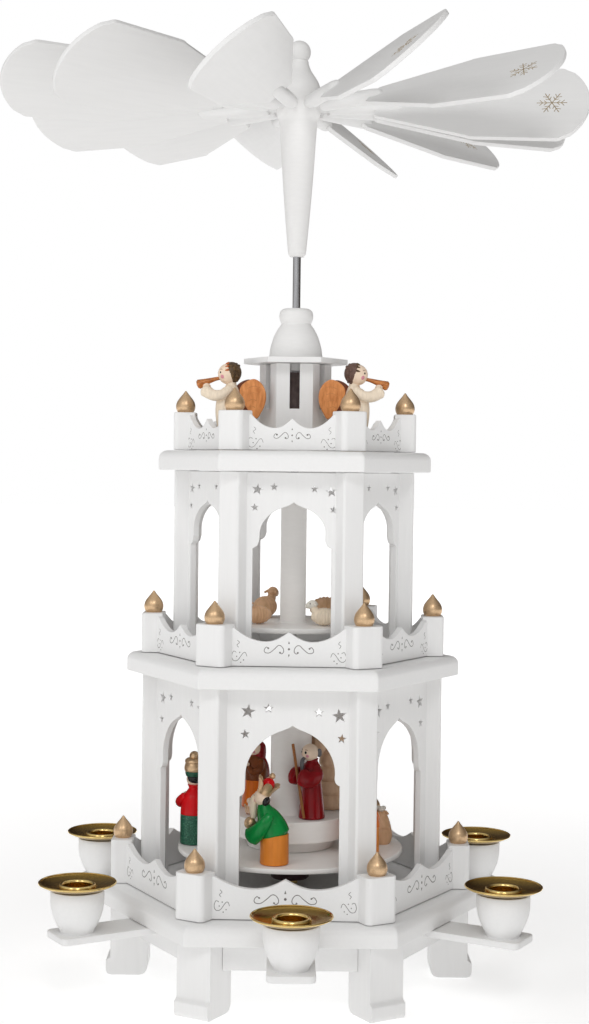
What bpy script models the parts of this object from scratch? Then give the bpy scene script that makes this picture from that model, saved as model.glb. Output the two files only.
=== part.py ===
"""Three-storey wooden candle pyramid with a paddle rotor, at its real size.

Metres, +Z up. The origin is on the floor under the spindle. The tower is a hexagon whose
front face looks along -Y, and an azimuth is an angle about +Z from -Y towards +X.
"""

import math

import bmesh
import bpy
from mathutils import Matrix, Vector

MM = 0.001
SIDES = 6

# Fits
GAP = 0.3 * MM
SINK = 0.5 * MM

# Legs and apron under the base
LEG_HEIGHT = 44.9 * MM
LEG_WIDTH = 24.0 * MM
LEG_DEPTH = 24.0 * MM
LEG_INSET = 11.0 * MM
FOOT_HEIGHT = 9.5 * MM
FOOT_STEP = 2.8 * MM
FOOT_ROUND = 5.0 * MM
APRON_HEIGHT = 17.4 * MM
APRON_SETBACK = 14.8 * MM
APRON_WALL = 20.0 * MM
BASE_TURN = math.radians(2.0)

# Plates
PLATE_THICKNESS = 12.5 * MM
PLATE_ROUND = 5.0 * MM
PLATE_OVERHANG = 17.3 * MM
PLATE_HOLE = 12.0 * MM
LOWER_STOREY = 136.8 * MM
UPPER_STOREY = 117.6 * MM

# Post galleries on the three plates
BASE_RING = 108.5 * MM
MIDDLE_RING = 90.0 * MM
TOP_RING = 70.6 * MM
POST_WIDTH = 20.8 * MM
TOP_POST_WIDTH = 17.8 * MM
POST_DEPTH = 14.0 * MM
POST_ROUND = 3.6 * MM
BASE_POST_HEIGHT = 28.0 * MM
MIDDLE_POST_HEIGHT = 25.3 * MM
TOP_POST_HEIGHT = 24.2 * MM
FINIAL_RADIUS = 6.2 * MM
FINIAL_HEIGHT = 14.0 * MM
FENCE_THICKNESS = 4.0 * MM
FENCE_END_DROP = 2.2 * MM
BASE_FENCE_TROUGH = 18.4 * MM
MIDDLE_FENCE_TROUGH = 15.0 * MM
TOP_FENCE_TROUGH = 13.6 * MM
FENCE_PEAK_RISE = 6.2 * MM

# Arcades between the plates
PILLAR_WIDTH = 15.0 * MM
PILLAR_EASE = 1.5 * MM
PILLAR_INSET = 1.3 * MM
PANEL_THICKNESS = 4.0 * MM
LOWER_ARCH_HALF = 27.0 * MM
LOWER_ARCH_PEAK = 113.7 * MM
LOWER_ARCH_CROWN = 29.6 * MM
LOWER_ARCH_STEP = 3.1 * MM
UPPER_ARCH_HALF = 20.0 * MM
UPPER_ARCH_PEAK = 98.6 * MM
UPPER_ARCH_CROWN = 19.2 * MM
UPPER_ARCH_STEP = 4.1 * MM
ARCH_NECK = 5.2 * MM
ARCH_POINT_SLOPE = 0.2

# Turret, its roof and the dome that holds the upper bush
TURRET_RADIUS = 23.0 * MM
TURRET_HEIGHT = 55.4 * MM
TURRET_BORE = 14.0 * MM
TURRET_SLOT = 6.4 * MM
TURRET_SILL = 26.8 * MM
ROOF_RADIUS = 33.4 * MM
ROOF_THICKNESS = 3.4 * MM
DOME_HEIGHT = 32.0 * MM
DOME_RADIUS = 17.4 * MM
DOME_NECK = 9.6 * MM
DOME_BEAD = 10.9 * MM
SPIGOT_RADIUS = 11.5 * MM
SPIGOT_LENGTH = 8.0 * MM
BUSH_RADIUS = 4.5 * MM
BUSH_LENGTH = 14.0 * MM

# Spindle
AXLE_RADIUS = 2.5 * MM
AXLE_TIP = 3.0 * MM
PIVOT_RADIUS = 5.0 * MM
PIVOT_HEIGHT = 6.0 * MM
PIVOT_FLOOR = 3.0 * MM
PIVOT_MOUTH = 3.6 * MM

# Rotor
HUB_BOTTOM = 462.0 * MM
HUB_HEIGHT = 138.0 * MM
HUB_RADIUS = 14.0 * MM
HUB_FOOT_RADIUS = 5.4 * MM
HUB_BALL_RADIUS = 7.4 * MM
HUB_NECK_RADIUS = 6.2 * MM
HUB_SHOULDER = 110.5 * MM
HUB_NECK = 124.5 * MM
HUB_BAND = 90.0 * MM
HUB_BORE_DEPTH = 80.0 * MM
STEM_LEVEL = 95.2 * MM
BLADE_AZIMUTHS = (-11, 22.5, 51, 79.5, 108, 136.5, 164.5, 194.5, 225.5, 255, 286, 317.5)
BLADE_RISES = (-1, 1, 0, -1, 0, 0, 1, 3, 1, 0, 2.5, 0)
BLADE_PITCHES = (39, 44, 38, 55, 42, 40, 42, 39, 31, 31, 35, 38)
BLADE_SLIDES = [slide * MM for slide in (5, 4, 10, 0, 0, 6, 6, 0, 4, 0, 5, 7)]
BLADE_THICKNESS = 3.0 * MM
BLADE_ROOT = 50.0 * MM
BLADE_ROOT_HALF = 8.5 * MM
BLADE_SHOULDER = 112.0 * MM
BLADE_SHOULDER_HALF = 28.2 * MM
BLADE_CORNER = 169.0 * MM
BLADE_CORNER_HALF = 30.8 * MM
BLADE_CORNER_ROUND = 4.0 * MM
BLADE_TIP = 184.5 * MM
STEM_RADIUS = 4.5 * MM
STEM_START = 20.0 * MM
STEM_END = 68.0 * MM
STEM_PIN_RADIUS = 2.0 * MM
STEM_PIN_INNER = 9.3 * MM

# Turning stages
LOWER_DISC_RADIUS = 72.5 * MM
LOWER_DISC_THICKNESS = 3.4 * MM
LOWER_DISC_LIFT = 22.2 * MM
BOSS_RADIUS = 12.3 * MM
BOSS_LIFT = 4.0 * MM
BOSS_ROOM = 1.2 * MM
RAISED_RADIUS = 37.0 * MM
RAISED_THICKNESS = 14.0 * MM
SPACER_RADIUS = 28.0 * MM
SPACER_HEIGHT = 7.0 * MM
LOWER_COLUMN_RADIUS = 13.2 * MM
COLUMN_FOOT_RADIUS = 16.4 * MM
COLUMN_FOOT_HEIGHT = 9.0 * MM
COLUMN_HEADROOM = 6.0 * MM
UPPER_DISC_RADIUS = 50.0 * MM
UPPER_DISC_THICKNESS = 3.4 * MM
UPPER_DISC_LIFT = 17.0 * MM
UPPER_COLUMN_RADIUS = 8.3 * MM

# Candle holders
ARM_WIDTH = 28.0 * MM
ARM_THICKNESS = 4.5 * MM
ARM_REACH = 164.0 * MM
ARM_CORNER = 4.0 * MM
CUP_RING = 149.0 * MM
CUP_RADIUS = 16.3 * MM
CUP_FOOT_RADIUS = 10.2 * MM
CUP_HEIGHT = 25.6 * MM
CUP_BORE_DEPTH = 13.0 * MM
CANDLE_BORE = 8.8 * MM
PAN_RADIUS = 23.8 * MM
PAN_RISE = 4.6 * MM
PAN_SHEET = 0.8 * MM
PAN_BEAD_RADIUS = 11.4 * MM
PAN_BEAD_RISE = 2.6 * MM
PAN_SOCKET_DEPTH = 10.5 * MM

# Figures
KING_RADIUS = 8.6 * MM
KING_HEIGHT = 56.0 * MM
BOWED_HEIGHT = 38.0 * MM
GREEN_KING_PLACE = 58.5 * MM
RED_KING_PLACE = 62.5 * MM
ORANGE_KING_PLACE = 54.3 * MM
JOSEPH_RADIUS = 8.4 * MM
JOSEPH_HEIGHT = 49.0 * MM
JOSEPH_PLACE = 25.6 * MM
MARY_HEIGHT = 44.0 * MM
MARY_PLACE = 27.5 * MM
ANGEL_HEIGHT = 55.3 * MM
ANGEL_HEAD = 6.4 * MM
HORN_REACH = 18.5 * MM
HORN_BELL = 2.9 * MM
SLEEVE = 3.6 * MM
WING_RADIUS = 6.8 * MM
WING_REACH = 14.4 * MM
HEAD_RADIUS = 4.9 * MM
PALM_HEIGHT = 62.0 * MM
PALM_RADIUS = 9.0 * MM
PALM_CROWN = 13.5 * MM
PALM_CROWN_LEVEL = 45.0 * MM
PALM_PLACE = 27.5 * MM
CRIB_LENGTH = 13.0 * MM
CRIB_PLACE = 28.0 * MM
SHEEP_LENGTH = 15.0 * MM
SHEEP_PLACE = 34.0 * MM
LAMB_LENGTH = 18.5 * MM
LAMB_PLACE = 59.2 * MM
LEFT_ANGEL_PLACE = 43.0 * MM
RIGHT_ANGEL_PLACE = 41.5 * MM

# Plate and stage levels, from the floor up
BASE_UNDER = LEG_HEIGHT + GAP
BASE_TOP = BASE_UNDER + PLATE_THICKNESS
MIDDLE_UNDER = BASE_TOP + LOWER_STOREY
MIDDLE_TOP = MIDDLE_UNDER + PLATE_THICKNESS
TOP_UNDER = MIDDLE_TOP + UPPER_STOREY
TOP_TOP = TOP_UNDER + PLATE_THICKNESS
ROOF_UNDER = TOP_TOP + GAP + TURRET_HEIGHT + GAP
DOME_UNDER = ROOF_UNDER + ROOF_THICKNESS + GAP
LOWER_STAGE = BASE_TOP + LOWER_DISC_LIFT + LOWER_DISC_THICKNESS
RAISED_STAGE = LOWER_STAGE + GAP + SPACER_HEIGHT + RAISED_THICKNESS
UPPER_STAGE = MIDDLE_TOP + UPPER_DISC_LIFT + UPPER_DISC_THICKNESS
ROTOR_LEVEL = HUB_BOTTOM + STEM_LEVEL


def clear_scene():
    """Take every object out of the open file."""
    for leftover in list(bpy.data.objects):
        bpy.data.objects.remove(leftover, do_unlink=True)


clear_scene()
pyramid = bpy.data.collections.new("christmas_pyramid")
bench = bpy.data.collections.new("bench")
bpy.context.scene.collection.children.link(pyramid)
bpy.context.scene.collection.children.link(bench)


def make_material(name, color, roughness, metallic=0.0):
    """A Principled material."""
    material = bpy.data.materials.new(name)
    material.use_nodes = True
    shader = material.node_tree.nodes["Principled BSDF"]
    shader.inputs["Base Color"].default_value = (*color, 1.0)
    shader.inputs["Roughness"].default_value = roughness
    shader.inputs["Metallic"].default_value = metallic
    return material


WHITE_PAINT = (0.86, 0.86, 0.85)
BRASS = (0.72, 0.52, 0.22)
STEEL = (0.6, 0.61, 0.62)
BARE_WOOD = (0.66, 0.44, 0.27)
CREAM = (0.83, 0.74, 0.58)
GREEN = (0.01, 0.23, 0.1)
RED = (0.5, 0.03, 0.03)
DARK_RED = (0.26, 0.02, 0.03)
ORANGE = (0.72, 0.27, 0.05)


def azimuth_turn(azimuth):
    """Turn a piece made at the front to its azimuth."""
    return Matrix.Rotation(azimuth, 4, "Z")


def outward(azimuth):
    """Unit vector that points away from the spindle at an azimuth."""
    return Vector((math.sin(azimuth), -math.cos(azimuth), 0.0))


def shift(x, y, z):
    """Translation matrix."""
    return Matrix.Translation((x, y, z))


UPRIGHT = Matrix.Rotation(math.pi / 2, 4, "X")


def bench_object(name, data):
    """Put new data on the bench collection as an object."""
    piece = bpy.data.objects.new(name, data)
    bench.objects.link(piece)
    return piece


def baked(piece):
    """Replace a bench object by one whose mesh is what its modifiers or its curve make."""
    depsgraph = bpy.context.evaluated_depsgraph_get()
    mesh = bpy.data.meshes.new_from_object(piece.evaluated_get(depsgraph))
    shape = bmesh.new()
    shape.from_mesh(mesh)
    bmesh.ops.remove_doubles(shape, verts=shape.verts, dist=0.002 * MM)
    bmesh.ops.dissolve_limit(
        shape, angle_limit=math.radians(0.2), verts=shape.verts, edges=shape.edges
    )
    bmesh.ops.triangulate(shape, faces=shape.faces)
    bmesh.ops.recalc_face_normals(shape, faces=shape.faces)
    shape.to_mesh(mesh)
    shape.free()
    result = bench_object(piece.name + "_solid", mesh)
    result.matrix_world = piece.matrix_world.copy()
    bpy.data.objects.remove(piece, do_unlink=True)
    return result


def placed(piece, matrix):
    """Move the mesh of a bench piece."""
    piece.data.transform(matrix)
    return piece


def flat(outlines, thickness):
    """Board in the XY plane from closed outlines, the inner ones being openings."""
    curve = bpy.data.curves.new("board", "CURVE")
    curve.dimensions = "2D"
    curve.fill_mode = "BOTH"
    curve.extrude = thickness / 2
    for outline in outlines:
        spline = curve.splines.new("POLY")
        spline.points.add(len(outline) - 1)
        for point, (x, y) in zip(spline.points, outline):
            point.co = (x, y, 0.0, 1.0)
        spline.use_cyclic_u = True
    return baked(bench_object("board", curve))


def turned(profile, steps, closed=False):
    """Solid of revolution whose profile of (radius, height) runs down its outside."""
    mesh = bpy.data.meshes.new("turning")
    points = [(radius, 0.0, height) for radius, height in profile]
    edges = [(index, index + 1) for index in range(len(points) - 1)]
    if closed:
        edges.append((len(points) - 1, 0))
    mesh.from_pydata(points, edges, [])
    piece = bench_object("turning", mesh)
    screw = piece.modifiers.new("screw", "SCREW")
    screw.axis = "Z"
    screw.angle = 2 * math.pi
    screw.steps = steps
    screw.render_steps = steps
    screw.use_merge_vertices = True
    screw.merge_threshold = 0.00001
    return baked(piece)


def box(size_x, size_y, size_z):
    """Box on the XY plane."""
    mesh = bpy.data.meshes.new("box")
    shape = bmesh.new()
    bmesh.ops.create_cube(shape, size=1.0)
    bmesh.ops.scale(shape, vec=(size_x, size_y, size_z), verts=shape.verts)
    bmesh.ops.translate(shape, vec=(0, 0, size_z / 2), verts=shape.verts)
    shape.to_mesh(mesh)
    shape.free()
    return bench_object("box", mesh)


def edge_above(edge, height):
    """True where an edge's middle lies above a height."""
    return (edge.verts[0].co.z + edge.verts[1].co.z) / 2 > height


def cylinder(radius, length, sides, end_radius=None):
    """Cylinder or cone along +Z from the XY plane."""
    mesh = bpy.data.meshes.new("cylinder")
    shape = bmesh.new()
    bmesh.ops.create_cone(
        shape,
        cap_ends=True,
        segments=sides,
        radius1=radius,
        radius2=radius if end_radius is None else end_radius,
        depth=length,
    )
    bmesh.ops.translate(shape, vec=(0, 0, length / 2), verts=shape.verts)
    shape.to_mesh(mesh)
    shape.free()
    return bench_object("cylinder", mesh)


def ball(radius, stretch=(1, 1, 1), u=6, v=5):
    """Sphere or ellipsoid about the origin."""
    mesh = bpy.data.meshes.new("ball")
    shape = bmesh.new()
    bmesh.ops.create_uvsphere(shape, u_segments=u, v_segments=v, radius=radius)
    bmesh.ops.scale(shape, vec=stretch, verts=shape.verts)
    shape.to_mesh(mesh)
    shape.free()
    return bench_object("ball", mesh)


def limb(start, end, start_radius, end_radius, sides=6):
    """Tapered stick between two points, with a small ball at its far end."""
    start = Vector(start)
    end = Vector(end)
    along = end - start
    aim = Vector((0, 0, 1)).rotation_difference(along).to_matrix().to_4x4()
    stick = placed(
        cylinder(start_radius, along.length, sides, end_radius),
        Matrix.Translation(start) @ aim,
    )
    hand = placed(ball(end_radius * 1.08, u=6, v=4), Matrix.Translation(end))
    return [stick, hand]


def combine(body, others, operation):
    """Boolean a group of bench pieces into the first one."""
    group = bpy.data.collections.new("group")
    bench.children.link(group)
    for other in others:
        bench.objects.unlink(other)
        group.objects.link(other)
        other.hide_render = True
        other.display_type = "WIRE"
    boolean = body.modifiers.new("boolean", "BOOLEAN")
    boolean.operation = operation
    boolean.solver = "EXACT"
    boolean.operand_type = "COLLECTION"
    boolean.collection = group
    result = baked(body)
    for other in others:
        bpy.data.objects.remove(other, do_unlink=True)
    bpy.data.collections.remove(group)
    return result


def fused(pieces):
    """One closed body from overlapping pieces."""
    return combine(pieces[0], pieces[1:], "UNION")


def cut(body, cutters):
    """A body less its cutters."""
    return combine(body, cutters, "DIFFERENCE")


def finish(piece, name, material, smooth_angle=None, parent=None):
    """Give a bench piece its name, material and place in the model."""
    piece.name = name
    piece.data.name = name
    piece.data.materials.clear()
    piece.data.materials.append(material)
    if smooth_angle is not None:
        piece.data.shade_smooth()
        piece.data.set_sharp_from_angle(angle=math.radians(smooth_angle))
    bench.objects.unlink(piece)
    pyramid.objects.link(piece)
    if parent is not None:
        piece.parent = parent
    return piece


def copies(piece, name, count, start, step, material_of, smooth_angle=None, turn=None):
    """Objects that share one mesh, set round the spindle."""
    made = []
    for index in range(count):
        twin = bench_object(name, piece.data)
        finish(twin, f"{name}_{index + 1}", material_of, smooth_angle)
        twin.rotation_euler = (0, 0, start + index * step)
        made.append(twin)
    bpy.data.objects.remove(piece, do_unlink=True)
    return made


def axis_empty(name, location):
    """Empty that carries what turns about it."""
    empty = bpy.data.objects.new(name, None)
    empty.empty_display_size = 20 * MM
    empty.location = location
    pyramid.objects.link(empty)
    return empty


def arc(center_x, center_y, radius_x, radius_y, start, end, count):
    """Points of an elliptic arc, both ends included, angles in degrees."""
    points = []
    for index in range(count):
        angle = math.radians(start + (end - start) * index / (count - 1))
        x = center_x + radius_x * math.cos(angle)
        y = center_y + radius_y * math.sin(angle)
        points.append((x, y))
    return points


def face_azimuths():
    """Azimuths of the six faces."""
    return [index * 2 * math.pi / SIDES for index in range(SIDES)]


def corner_azimuths():
    """Azimuths of the six corners."""
    return [azimuth + math.pi / SIDES for azimuth in face_azimuths()]


def apothem(corner_radius):
    """Distance from the spindle to a face of the hexagon."""
    return corner_radius * math.cos(math.pi / SIDES)


def hexagon_plate(corner_radius, thickness, round_radius, hole_radius):
    """Hexagonal board with a rounded top edge and an optional hole, from the XY plane up."""
    mesh = bpy.data.meshes.new("plate")
    shape = bmesh.new()
    bmesh.ops.create_cone(
        shape,
        cap_ends=True,
        segments=SIDES,
        radius1=corner_radius,
        radius2=corner_radius,
        depth=thickness,
    )
    bmesh.ops.translate(shape, vec=(0, 0, thickness / 2), verts=shape.verts)
    onto_corners = Matrix.Rotation(math.pi / SIDES, 3, "Z")
    bmesh.ops.rotate(shape, cent=(0, 0, 0), matrix=onto_corners, verts=shape.verts)
    if round_radius > 0:
        rim = [edge for edge in shape.edges if edge_above(edge, thickness * 0.75)]
        bmesh.ops.bevel(
            shape, geom=rim, offset=round_radius, segments=3, profile=0.5, affect="EDGES"
        )
    shape.to_mesh(mesh)
    shape.free()
    plate = bench_object("plate", mesh)
    if hole_radius > 0:
        drill = placed(cylinder(hole_radius, 3 * thickness, 24), shift(0, 0, -thickness))
        plate = cut(plate, [drill])
    return plate


def build_base(white):
    """Base plate, apron and the six legs, a little turned under the tower."""
    plate_radius = BASE_RING + PLATE_OVERHANG
    plate = placed(
        hexagon_plate(plate_radius, PLATE_THICKNESS, PLATE_ROUND, 0.0),
        azimuth_turn(BASE_TURN) @ shift(0, 0, BASE_UNDER),
    )
    finish(plate, "base_plate", white)

    leg_outer = plate_radius - LEG_INSET
    leg_inner = leg_outer - LEG_DEPTH
    foot_outer = leg_outer + FOOT_STEP
    profile = [
        (leg_inner, LEG_HEIGHT),
        (leg_inner, FOOT_ROUND),
        (leg_inner + 0.3 * FOOT_ROUND, 0.3 * FOOT_ROUND),
        (leg_inner + FOOT_ROUND, 0.0),
        (foot_outer - FOOT_STEP, 0.0),
        (foot_outer, FOOT_STEP),
        (foot_outer, FOOT_HEIGHT),
        (leg_outer, FOOT_HEIGHT + FOOT_STEP),
        (leg_outer, LEG_HEIGHT),
    ]
    leg = placed(
        flat([profile], LEG_WIDTH),
        Matrix.Rotation(-math.pi / 2, 4, "Z") @ UPRIGHT,
    )
    copies(leg, "leg", SIDES, corner_azimuths()[0] + BASE_TURN, 2 * math.pi / SIDES, white)

    outer = plate_radius - APRON_SETBACK / math.cos(math.pi / SIDES)
    inner = outer - APRON_WALL / math.cos(math.pi / SIDES)
    ring = [
        [(radius * math.sin(a), -radius * math.cos(a)) for a in corner_azimuths()]
        for radius in (outer, inner)
    ]
    apron_low = LEG_HEIGHT - APRON_HEIGHT
    apron = placed(
        flat(ring, APRON_HEIGHT),
        azimuth_turn(BASE_TURN) @ shift(0, 0, apron_low + APRON_HEIGHT / 2),
    )
    cutters = []
    for azimuth in corner_azimuths():
        notch = box(LEG_WIDTH + 2 * GAP, LEG_DEPTH + 2 * GAP, 3 * APRON_HEIGHT)
        place = shift(0, -(leg_inner + leg_outer) / 2, apron_low - APRON_HEIGHT)
        cutters.append(placed(notch, azimuth_turn(azimuth + BASE_TURN) @ place))
    for azimuth in face_azimuths():
        rebate = box(ARM_WIDTH + 2 * GAP, 4 * APRON_WALL, 2 * ARM_THICKNESS)
        place = shift(0, -apothem(outer), BASE_UNDER - GAP - ARM_THICKNESS - GAP)
        cutters.append(placed(rebate, azimuth_turn(azimuth + BASE_TURN) @ place))
    finish(cut(apron, cutters), "base_apron", white)


def cup_profile():
    """Outside and bore of a candle cup, from its rim down."""
    bore = CANDLE_BORE + PAN_SHEET + GAP
    outside = [
        (CUP_RADIUS, CUP_HEIGHT),
        (CUP_RADIUS, 0.72 * CUP_HEIGHT),
        (0.95 * CUP_RADIUS, 0.5 * CUP_HEIGHT),
        (0.82 * CUP_RADIUS, 0.26 * CUP_HEIGHT),
        (CUP_FOOT_RADIUS, 0.04 * CUP_HEIGHT),
        (CUP_FOOT_RADIUS, -SINK),
        (0.0, -SINK),
    ]
    hollow = [(0.0, CUP_HEIGHT - CUP_BORE_DEPTH), (bore, CUP_HEIGHT - CUP_BORE_DEPTH), (bore, CUP_HEIGHT)]
    return hollow + outside


def pan_profile():
    """Closed section of the brass pan: dish, beaded candle ring and socket."""
    floor = PAN_SHEET
    bead_mid = (CANDLE_BORE + PAN_BEAD_RADIUS) / 2
    return [
        (0.0, -PAN_SOCKET_DEPTH + PAN_SHEET),
        (CANDLE_BORE, -PAN_SOCKET_DEPTH + PAN_SHEET),
        (CANDLE_BORE, floor + 0.6 * PAN_BEAD_RISE),
        (bead_mid, floor + PAN_BEAD_RISE),
        (PAN_BEAD_RADIUS, floor + 0.6 * PAN_BEAD_RISE),
        (PAN_BEAD_RADIUS, floor),
        (0.86 * PAN_RADIUS, floor + 0.3 * PAN_RISE),
        (PAN_RADIUS - 0.5 * PAN_SHEET, PAN_RISE),
        (PAN_RADIUS, PAN_RISE - 0.5 * PAN_SHEET),
        (0.88 * PAN_RADIUS, 0.3 * PAN_RISE),
        (0.6 * PAN_RADIUS, 0.0),
        (CANDLE_BORE + PAN_SHEET, 0.0),
        (CANDLE_BORE + PAN_SHEET, -PAN_SOCKET_DEPTH),
        (0.0, -PAN_SOCKET_DEPTH),
    ]


def build_candle_holders(white, brass):
    """Six boards that carry a turned cup each, and the brass pans that stand in the cups."""
    arm_top = BASE_UNDER - GAP
    arm_inner = apothem(BASE_RING + PLATE_OVERHANG) - APRON_SETBACK - APRON_WALL
    half = ARM_WIDTH / 2
    board = [(-half, -arm_inner), (-half, -(ARM_REACH - ARM_CORNER))]
    board += arc(-half + ARM_CORNER, -ARM_REACH + ARM_CORNER, ARM_CORNER, ARM_CORNER, 180, 270, 4)[1:]
    board += arc(half - ARM_CORNER, -ARM_REACH + ARM_CORNER, ARM_CORNER, ARM_CORNER, 270, 360, 4)
    board += [(half, -arm_inner)]
    arm = placed(flat([board], ARM_THICKNESS), shift(0, 0, arm_top - ARM_THICKNESS / 2))
    cup = placed(turned(cup_profile(), 16), shift(0, -CUP_RING, arm_top))
    holder = fused([arm, cup])
    step = 2 * math.pi / SIDES
    copies(holder, "candle_arm", SIDES, BASE_TURN, step, white, 40)

    pan = placed(turned(pan_profile(), 16), shift(0, -CUP_RING, arm_top + CUP_HEIGHT + GAP))
    copies(pan, "candle_pan", SIDES, BASE_TURN, step, brass, 40)


def finial_profile():
    """Onion finial, from its point down."""
    return [
        (0.0, FINIAL_HEIGHT),
        (0.16 * FINIAL_RADIUS, 0.9 * FINIAL_HEIGHT),
        (0.52 * FINIAL_RADIUS, 0.72 * FINIAL_HEIGHT),
        (0.92 * FINIAL_RADIUS, 0.46 * FINIAL_HEIGHT),
        (FINIAL_RADIUS, 0.26 * FINIAL_HEIGHT),
        (0.8 * FINIAL_RADIUS, 0.0),
        (0.8 * FINIAL_RADIUS, -SINK),
        (0.0, -SINK),
    ]


def fence_outline(ring, trough_height, post_height, post_width):
    """Front view of a fence between two posts: two sagging curves that meet in a point."""
    inside_post = ring / 2 - post_width / 4
    post_side = ring / 2 - post_width / 2 / math.cos(math.pi / SIDES)
    trough_at = 0.43 * post_side
    top = post_height - FENCE_END_DROP
    bottom = SINK
    half = [(0.0, trough_height + FENCE_PEAK_RISE)]
    for share in (0.3, 0.65, 1.0):
        rise = FENCE_PEAK_RISE * (1 - share) ** 2
        half.append((share * trough_at, trough_height + rise))
    for share in (0.4, 0.75, 1.0):
        run = trough_at + share * (post_side - trough_at)
        half.append((run, trough_height + (top - trough_height) * share**2))
    half.append((inside_post, top))
    left = [(-x, y) for x, y in half[1:]]
    return [(-inside_post, bottom), (inside_post, bottom)] + half[::-1] + left


def gallery_post(width, height):
    """Post with its two outer upright edges rounded."""
    mesh = bpy.data.meshes.new("post")
    shape = bmesh.new()
    bmesh.ops.create_cube(shape, size=1.0)
    bmesh.ops.scale(shape, vec=(width, POST_DEPTH, height), verts=shape.verts)
    bmesh.ops.translate(shape, vec=(0, 0, height / 2), verts=shape.verts)
    outer = []
    for edge in shape.edges:
        upright = abs(edge.verts[0].co.z - edge.verts[1].co.z) > height / 2
        if upright and edge.verts[0].co.y < 0:
            outer.append(edge)
    bmesh.ops.bevel(shape, geom=outer, offset=POST_ROUND, segments=3, profile=0.5, affect="EDGES")
    shape.to_mesh(mesh)
    shape.free()
    return bench_object("post", mesh)


def build_gallery(name, ring, floor, post_height, post_width, trough_height, material):
    """Six posts with onion finials, and the six fences between them, glued as one."""
    pieces = []
    for azimuth in corner_azimuths():
        turn = azimuth_turn(azimuth) @ shift(0, -ring, floor + GAP)
        pieces.append(placed(gallery_post(post_width, post_height), turn))
        finial = turned(finial_profile(), 10)
        pieces.append(placed(finial, turn @ shift(0, 0, post_height)))
    outline = fence_outline(ring, trough_height, post_height, post_width)
    for azimuth in face_azimuths():
        fence = flat([outline], FENCE_THICKNESS)
        turn = azimuth_turn(azimuth) @ shift(0, -apothem(ring), floor + GAP) @ UPRIGHT
        pieces.append(placed(fence, turn))
    return finish(fused(pieces), name, material)


def arch_half(arch_half_width, peak, crown, arch_step):
    """Right half of the arch opening, from its point down to its wider lower part."""
    points = []
    round_crown = crown - ARCH_POINT_SLOPE * arch_half_width
    for share in (0.0, 0.3, 0.58, 0.8, 0.94, 1.0):
        fall = round_crown * (1 - math.sqrt(1 - share**2))
        fall += ARCH_POINT_SLOPE * share * arch_half_width
        points.append((share * arch_half_width, peak - fall))
    neck = peak - crown - ARCH_NECK
    points.append((arch_half_width + 0.1 * arch_step, neck))
    points.append((arch_half_width + 0.4 * arch_step, neck - 0.7 * arch_step))
    points.append((arch_half_width + arch_step, neck - arch_step))
    return points


def build_arcade(name, ring, floor, storey, arch_half_width, peak, crown, arch_step, material):
    """Six pillars and the six arched panels between them, glued as one."""
    height = storey - 2 * GAP
    pieces = []
    for azimuth in corner_azimuths():
        pillar = box(PILLAR_WIDTH, PILLAR_WIDTH, height)
        turn = azimuth_turn(azimuth) @ shift(0, -ring, floor + GAP)
        pieces.append(placed(eased_pillar(pillar, height), turn))
    half = arch_half(arch_half_width, peak, crown, arch_step)
    left = [(-x, y) for x, y in half[1:]]
    edge = ring / 2 - PILLAR_WIDTH / 4
    jamb = arch_half_width + arch_step
    outline = [(-edge, SINK), (-jamb, SINK)] + left[::-1] + half
    outline += [(jamb, SINK), (edge, SINK), (edge, height - SINK), (-edge, height - SINK)]
    for azimuth in face_azimuths():
        panel = flat([outline], PANEL_THICKNESS)
        turn = azimuth_turn(azimuth) @ shift(0, -apothem(ring), floor + GAP) @ UPRIGHT
        pieces.append(placed(panel, turn))
    return finish(fused(pieces), name, material)


def eased_pillar(pillar, height):
    """Ease the four upright edges of a pillar."""
    shape = bmesh.new()
    shape.from_mesh(pillar.data)
    upright = [edge for edge in shape.edges if abs(edge.verts[0].co.z - edge.verts[1].co.z) > height / 2]
    bmesh.ops.bevel(shape, geom=upright, offset=PILLAR_EASE, segments=2, profile=0.5, affect="EDGES")
    shape.to_mesh(pillar.data)
    shape.free()
    return pillar


def build_tower(white):
    """Plates, galleries and arcades."""
    build_gallery(
        "base_gallery",
        BASE_RING,
        BASE_TOP,
        BASE_POST_HEIGHT,
        POST_WIDTH,
        BASE_FENCE_TROUGH,
        white,
    )
    build_arcade(
        "lower_arcade",
        MIDDLE_RING - PILLAR_INSET,
        BASE_TOP,
        LOWER_STOREY,
        LOWER_ARCH_HALF,
        LOWER_ARCH_PEAK,
        LOWER_ARCH_CROWN,
        LOWER_ARCH_STEP,
        white,
    )
    middle = hexagon_plate(MIDDLE_RING + PLATE_OVERHANG, PLATE_THICKNESS, PLATE_ROUND, PLATE_HOLE)
    finish(placed(middle, shift(0, 0, MIDDLE_UNDER)), "middle_plate", white)
    build_gallery(
        "middle_gallery",
        MIDDLE_RING,
        MIDDLE_TOP,
        MIDDLE_POST_HEIGHT,
        POST_WIDTH,
        MIDDLE_FENCE_TROUGH,
        white,
    )
    build_arcade(
        "upper_arcade",
        TOP_RING - PILLAR_INSET,
        MIDDLE_TOP,
        UPPER_STOREY,
        UPPER_ARCH_HALF,
        UPPER_ARCH_PEAK,
        UPPER_ARCH_CROWN,
        UPPER_ARCH_STEP,
        white,
    )
    top = hexagon_plate(TOP_RING + PLATE_OVERHANG, PLATE_THICKNESS, PLATE_ROUND, PLATE_HOLE)
    finish(placed(top, shift(0, 0, TOP_UNDER)), "top_plate", white)
    build_gallery(
        "top_gallery",
        TOP_RING,
        TOP_TOP,
        TOP_POST_HEIGHT,
        TOP_POST_WIDTH,
        TOP_FENCE_TROUGH,
        white,
    )


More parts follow.
